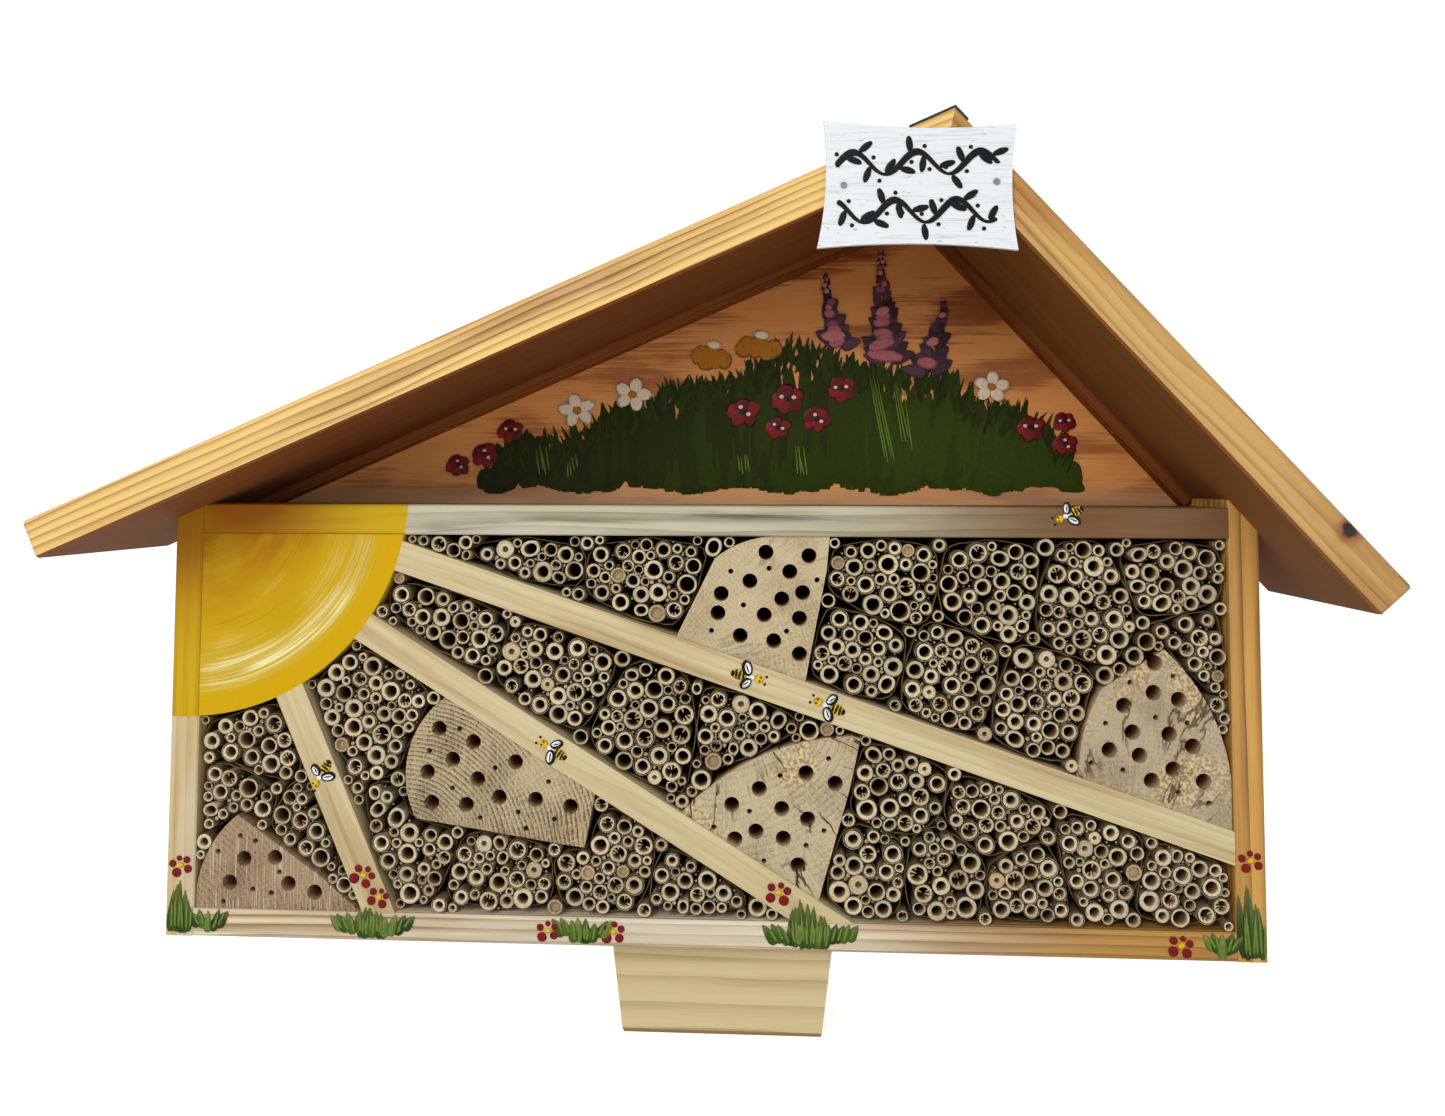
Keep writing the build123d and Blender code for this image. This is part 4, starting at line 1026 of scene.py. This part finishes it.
# Each lupine: its tip, its foot, half its width there and how much rose there is in it
LUPINES = [((79, 431), (88, 384), 13, 0.8), ((118, 447), (121, 374), 17, 0.75),
           ((162, 413), (151, 365), 16, 0.2)]
parts = []
for (top_x, top_z), (foot_x, foot_z), wide, rosy in LUPINES:
    tiers = round((top_z - foot_z) / 3.8)
    for tier in range(tiers + 1):
        down = tier / tiers
        x = top_x + (foot_x - top_x) * down + vary(-1.5, 1.5)
        z = top_z + (foot_z - top_z) * down
        half = 2.0 + (wide - 2.0) * down ** 1.5 * vary(0.75, 1.1)
        for side in (-1, 1):
            parts.append(stroke(x - side * half * 0.15, z - 1.0, 5.0 + 6.0 * down, half * vary(0.8, 1.1),
                                dabbing.choice(PLUM), turn=side * (82 - 26 * (1 - down) + vary(-12, 12)),
                                layer=8 + tier % 3, y=PANEL_Y, kind=2 + side))
        if dabbing.random() < rosy:
            parts.append(dab(x - half * 0.12, z + 0.8,
                             half * vary(0.45, 0.85), 1.3 + 3.4 * down, dabbing.choice(ROSE),
                             turn=vary(-16, 22), layer=13 + tier % 3, y=PANEL_Y, thick=0.5))
    for hair in range(7):
        parts.append(stroke(foot_x + wide * 0.3, foot_z - 3 + hair * 2.2, 1.2, wide * vary(0.7, 1.1),
                            PLUM[0], turn=70 - hair * 5, layer=9, y=PANEL_Y, kind=3))
finish_piece("painted_lupines", parts, dab_finish)


# ---------------------------------------------------------------- sign
# A little board of 3 mm plywood with four hollow edges, brushed white and nailed to the roof's
# front. It carries a plain vine pattern in black in two rows.

made, tree, shader = start_material("sign_white", Roughness=0.55)
spot = here(tree)
lines = cloud(spot, (45, 45, 1100), 3.0)
patches = cloud(spot, (160, 160, 500), 3.0)
white = blend(times(between(lines, 0.52, 0.72), 0.5), chip(224, 229, 231), chip(166, 176, 180))
white = blend(times(between(patches, 0.66, 0.74), 0.5), white, chip(120, 122, 120))
surface(tree, shader, white, lines, 0.2 * MM)
dress(made, "sign_board")

SIGN_FRONT = (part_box("sign_board")[0].y - BOX_MIDDLE.y) / MM
parts = []
# Each vine: its ends, its height, its swing and its number of waves
for left, right, height, swing, waves in ((81, 172, 470, 6.5, 2.5), (82, 170, 442, 6.5, 2.5)):
    beads = 110
    for bead in range(beads + 1):
        along = bead / beads
        phase = 2 * math.pi * waves * along + (0 if height > 460 else 2.2)
        parts.append(dab(left + (right - left) * along, height + swing * math.sin(phase),
                         1.7, 1.6 + 0.9 * math.sin(phase + 0.8), INK, layer=1, y=SIGN_FRONT, thick=0.25))
    leaves = round(waves * 5)
    for leaf in range(leaves):
        along = (leaf + 0.5) / leaves
        x = left + (right - left) * along
        phase = 2 * math.pi * waves * along + (0 if height > 460 else 2.2)
        z = height + swing * math.sin(phase)
        slope = math.atan(swing * 2 * math.pi * waves * math.cos(phase) / (right - left))
        turn = slope + (1 if leaf % 2 else -1) * math.radians(62)
        parts.append(dab(x + 6.0 * math.cos(turn), z + 6.0 * math.sin(turn),
                         5.0, 2.1, INK, turn=math.degrees(turn), layer=1, y=SIGN_FRONT, thick=0.25))
        turn += math.pi
        parts.append(dab(x + 4.6 * math.cos(turn), z + 4.6 * math.sin(turn),
                         1.3, 1.3, INK, layer=1, y=SIGN_FRONT, thick=0.25))
finish_piece("sign_pattern", parts, dab_finish)
for shape in DABS + STROKES:
    bpy.data.objects.remove(shape)


# ---------------------------------------------------------------- fasteners
# Zinc-plated countersunk screws and plain round nails hold the boards; beech dowels tie the rail
# and the mitre.

made, tree, shader = start_material("zinc_steel", Roughness=0.42, Metallic=0.9)
tarnish = cloud(here(tree), (420, 420, 420), 3.0)
surface(tree, shader, blend(tarnish, chip(170, 168, 160), chip(104, 100, 94)), tarnish, 0.05 * MM)
dress(made, "frame_screws", "roof_screws", "ray_and_sun_screws", "panel_screws", "batten_nails",
      "sign_nails", "foot_screws")

made, tree, shader = start_material("beech_dowel", Roughness=0.6)
wood = use_group(tree, "long_grain", vector=here(tree), pale=chip(222, 190, 146),
                 deep=chip(176, 136, 92), spacing=1.5 * MM, rings=0.3, streaks=0.3, waver=0.002)
surface(tree, shader, wood["Color"], wood["Height"])
dress(made, "joint_dowels")


# ---------------------------------------------------------------- stage
# A pale floor: one flat plane under the object.

bpy.ops.object.select_all(action="DESELECT")
bpy.ops.mesh.primitive_plane_add(size=14, location=(0, 0, 0))
floor = bpy.context.object
floor.name = "floor"
made, tree, shader = start_material("studio_floor", Roughness=0.9, Emission_Strength=0.7)
surface(tree, shader, chip(240, 240, 240))
put(tree, add(tree, "LightPath").outputs["Is Camera Ray"], shader.inputs["Emission Color"])
floor.data.materials.append(made)

scene = bpy.context.scene
world = scene.world or bpy.data.worlds.new("studio")
scene.world = world
world.use_nodes = True
sky = world.node_tree.nodes["Background"]
sky.inputs["Color"].default_value = (1, 1, 1, 1)
seen = add(world.node_tree, "LightPath").outputs["Is Camera Ray"]
put(world.node_tree, plus(0.48, times(seen, 0.52)), sky.inputs["Strength"])
scene.view_settings.view_transform = "Standard"


def softbox(name, place, aim, width, power):
    lamp = bpy.data.lights.new(name, "AREA")
    lamp.size = width
    lamp.energy = power
    lit = bpy.data.objects.new(name, lamp)
    scene.collection.objects.link(lit)
    lit.location = place
    lit.rotation_euler = (Vector(aim) - Vector(place)).to_track_quat("-Z", "Y").to_euler()


softbox("key_light", (-0.9, -2.0, 1.4), (0, 0, 0.3), 1.2, 29)
softbox("fill_light", (1.4, -1.8, 0.7), (0, 0, 0.3), 1.4, 8)

lens = bpy.data.cameras.new("camera")
camera = bpy.data.objects.new("camera", lens)
scene.collection.objects.link(camera)
scene.camera = camera
camera.location = (0.03651, -0.72986, 0.34374)
camera.rotation_euler = [math.radians(angle) for angle in (92.976, -0.174, 3.006)]
lens.lens = 27.3585
lens.sensor_width = 36.0
lens.shift_y = -0.0886
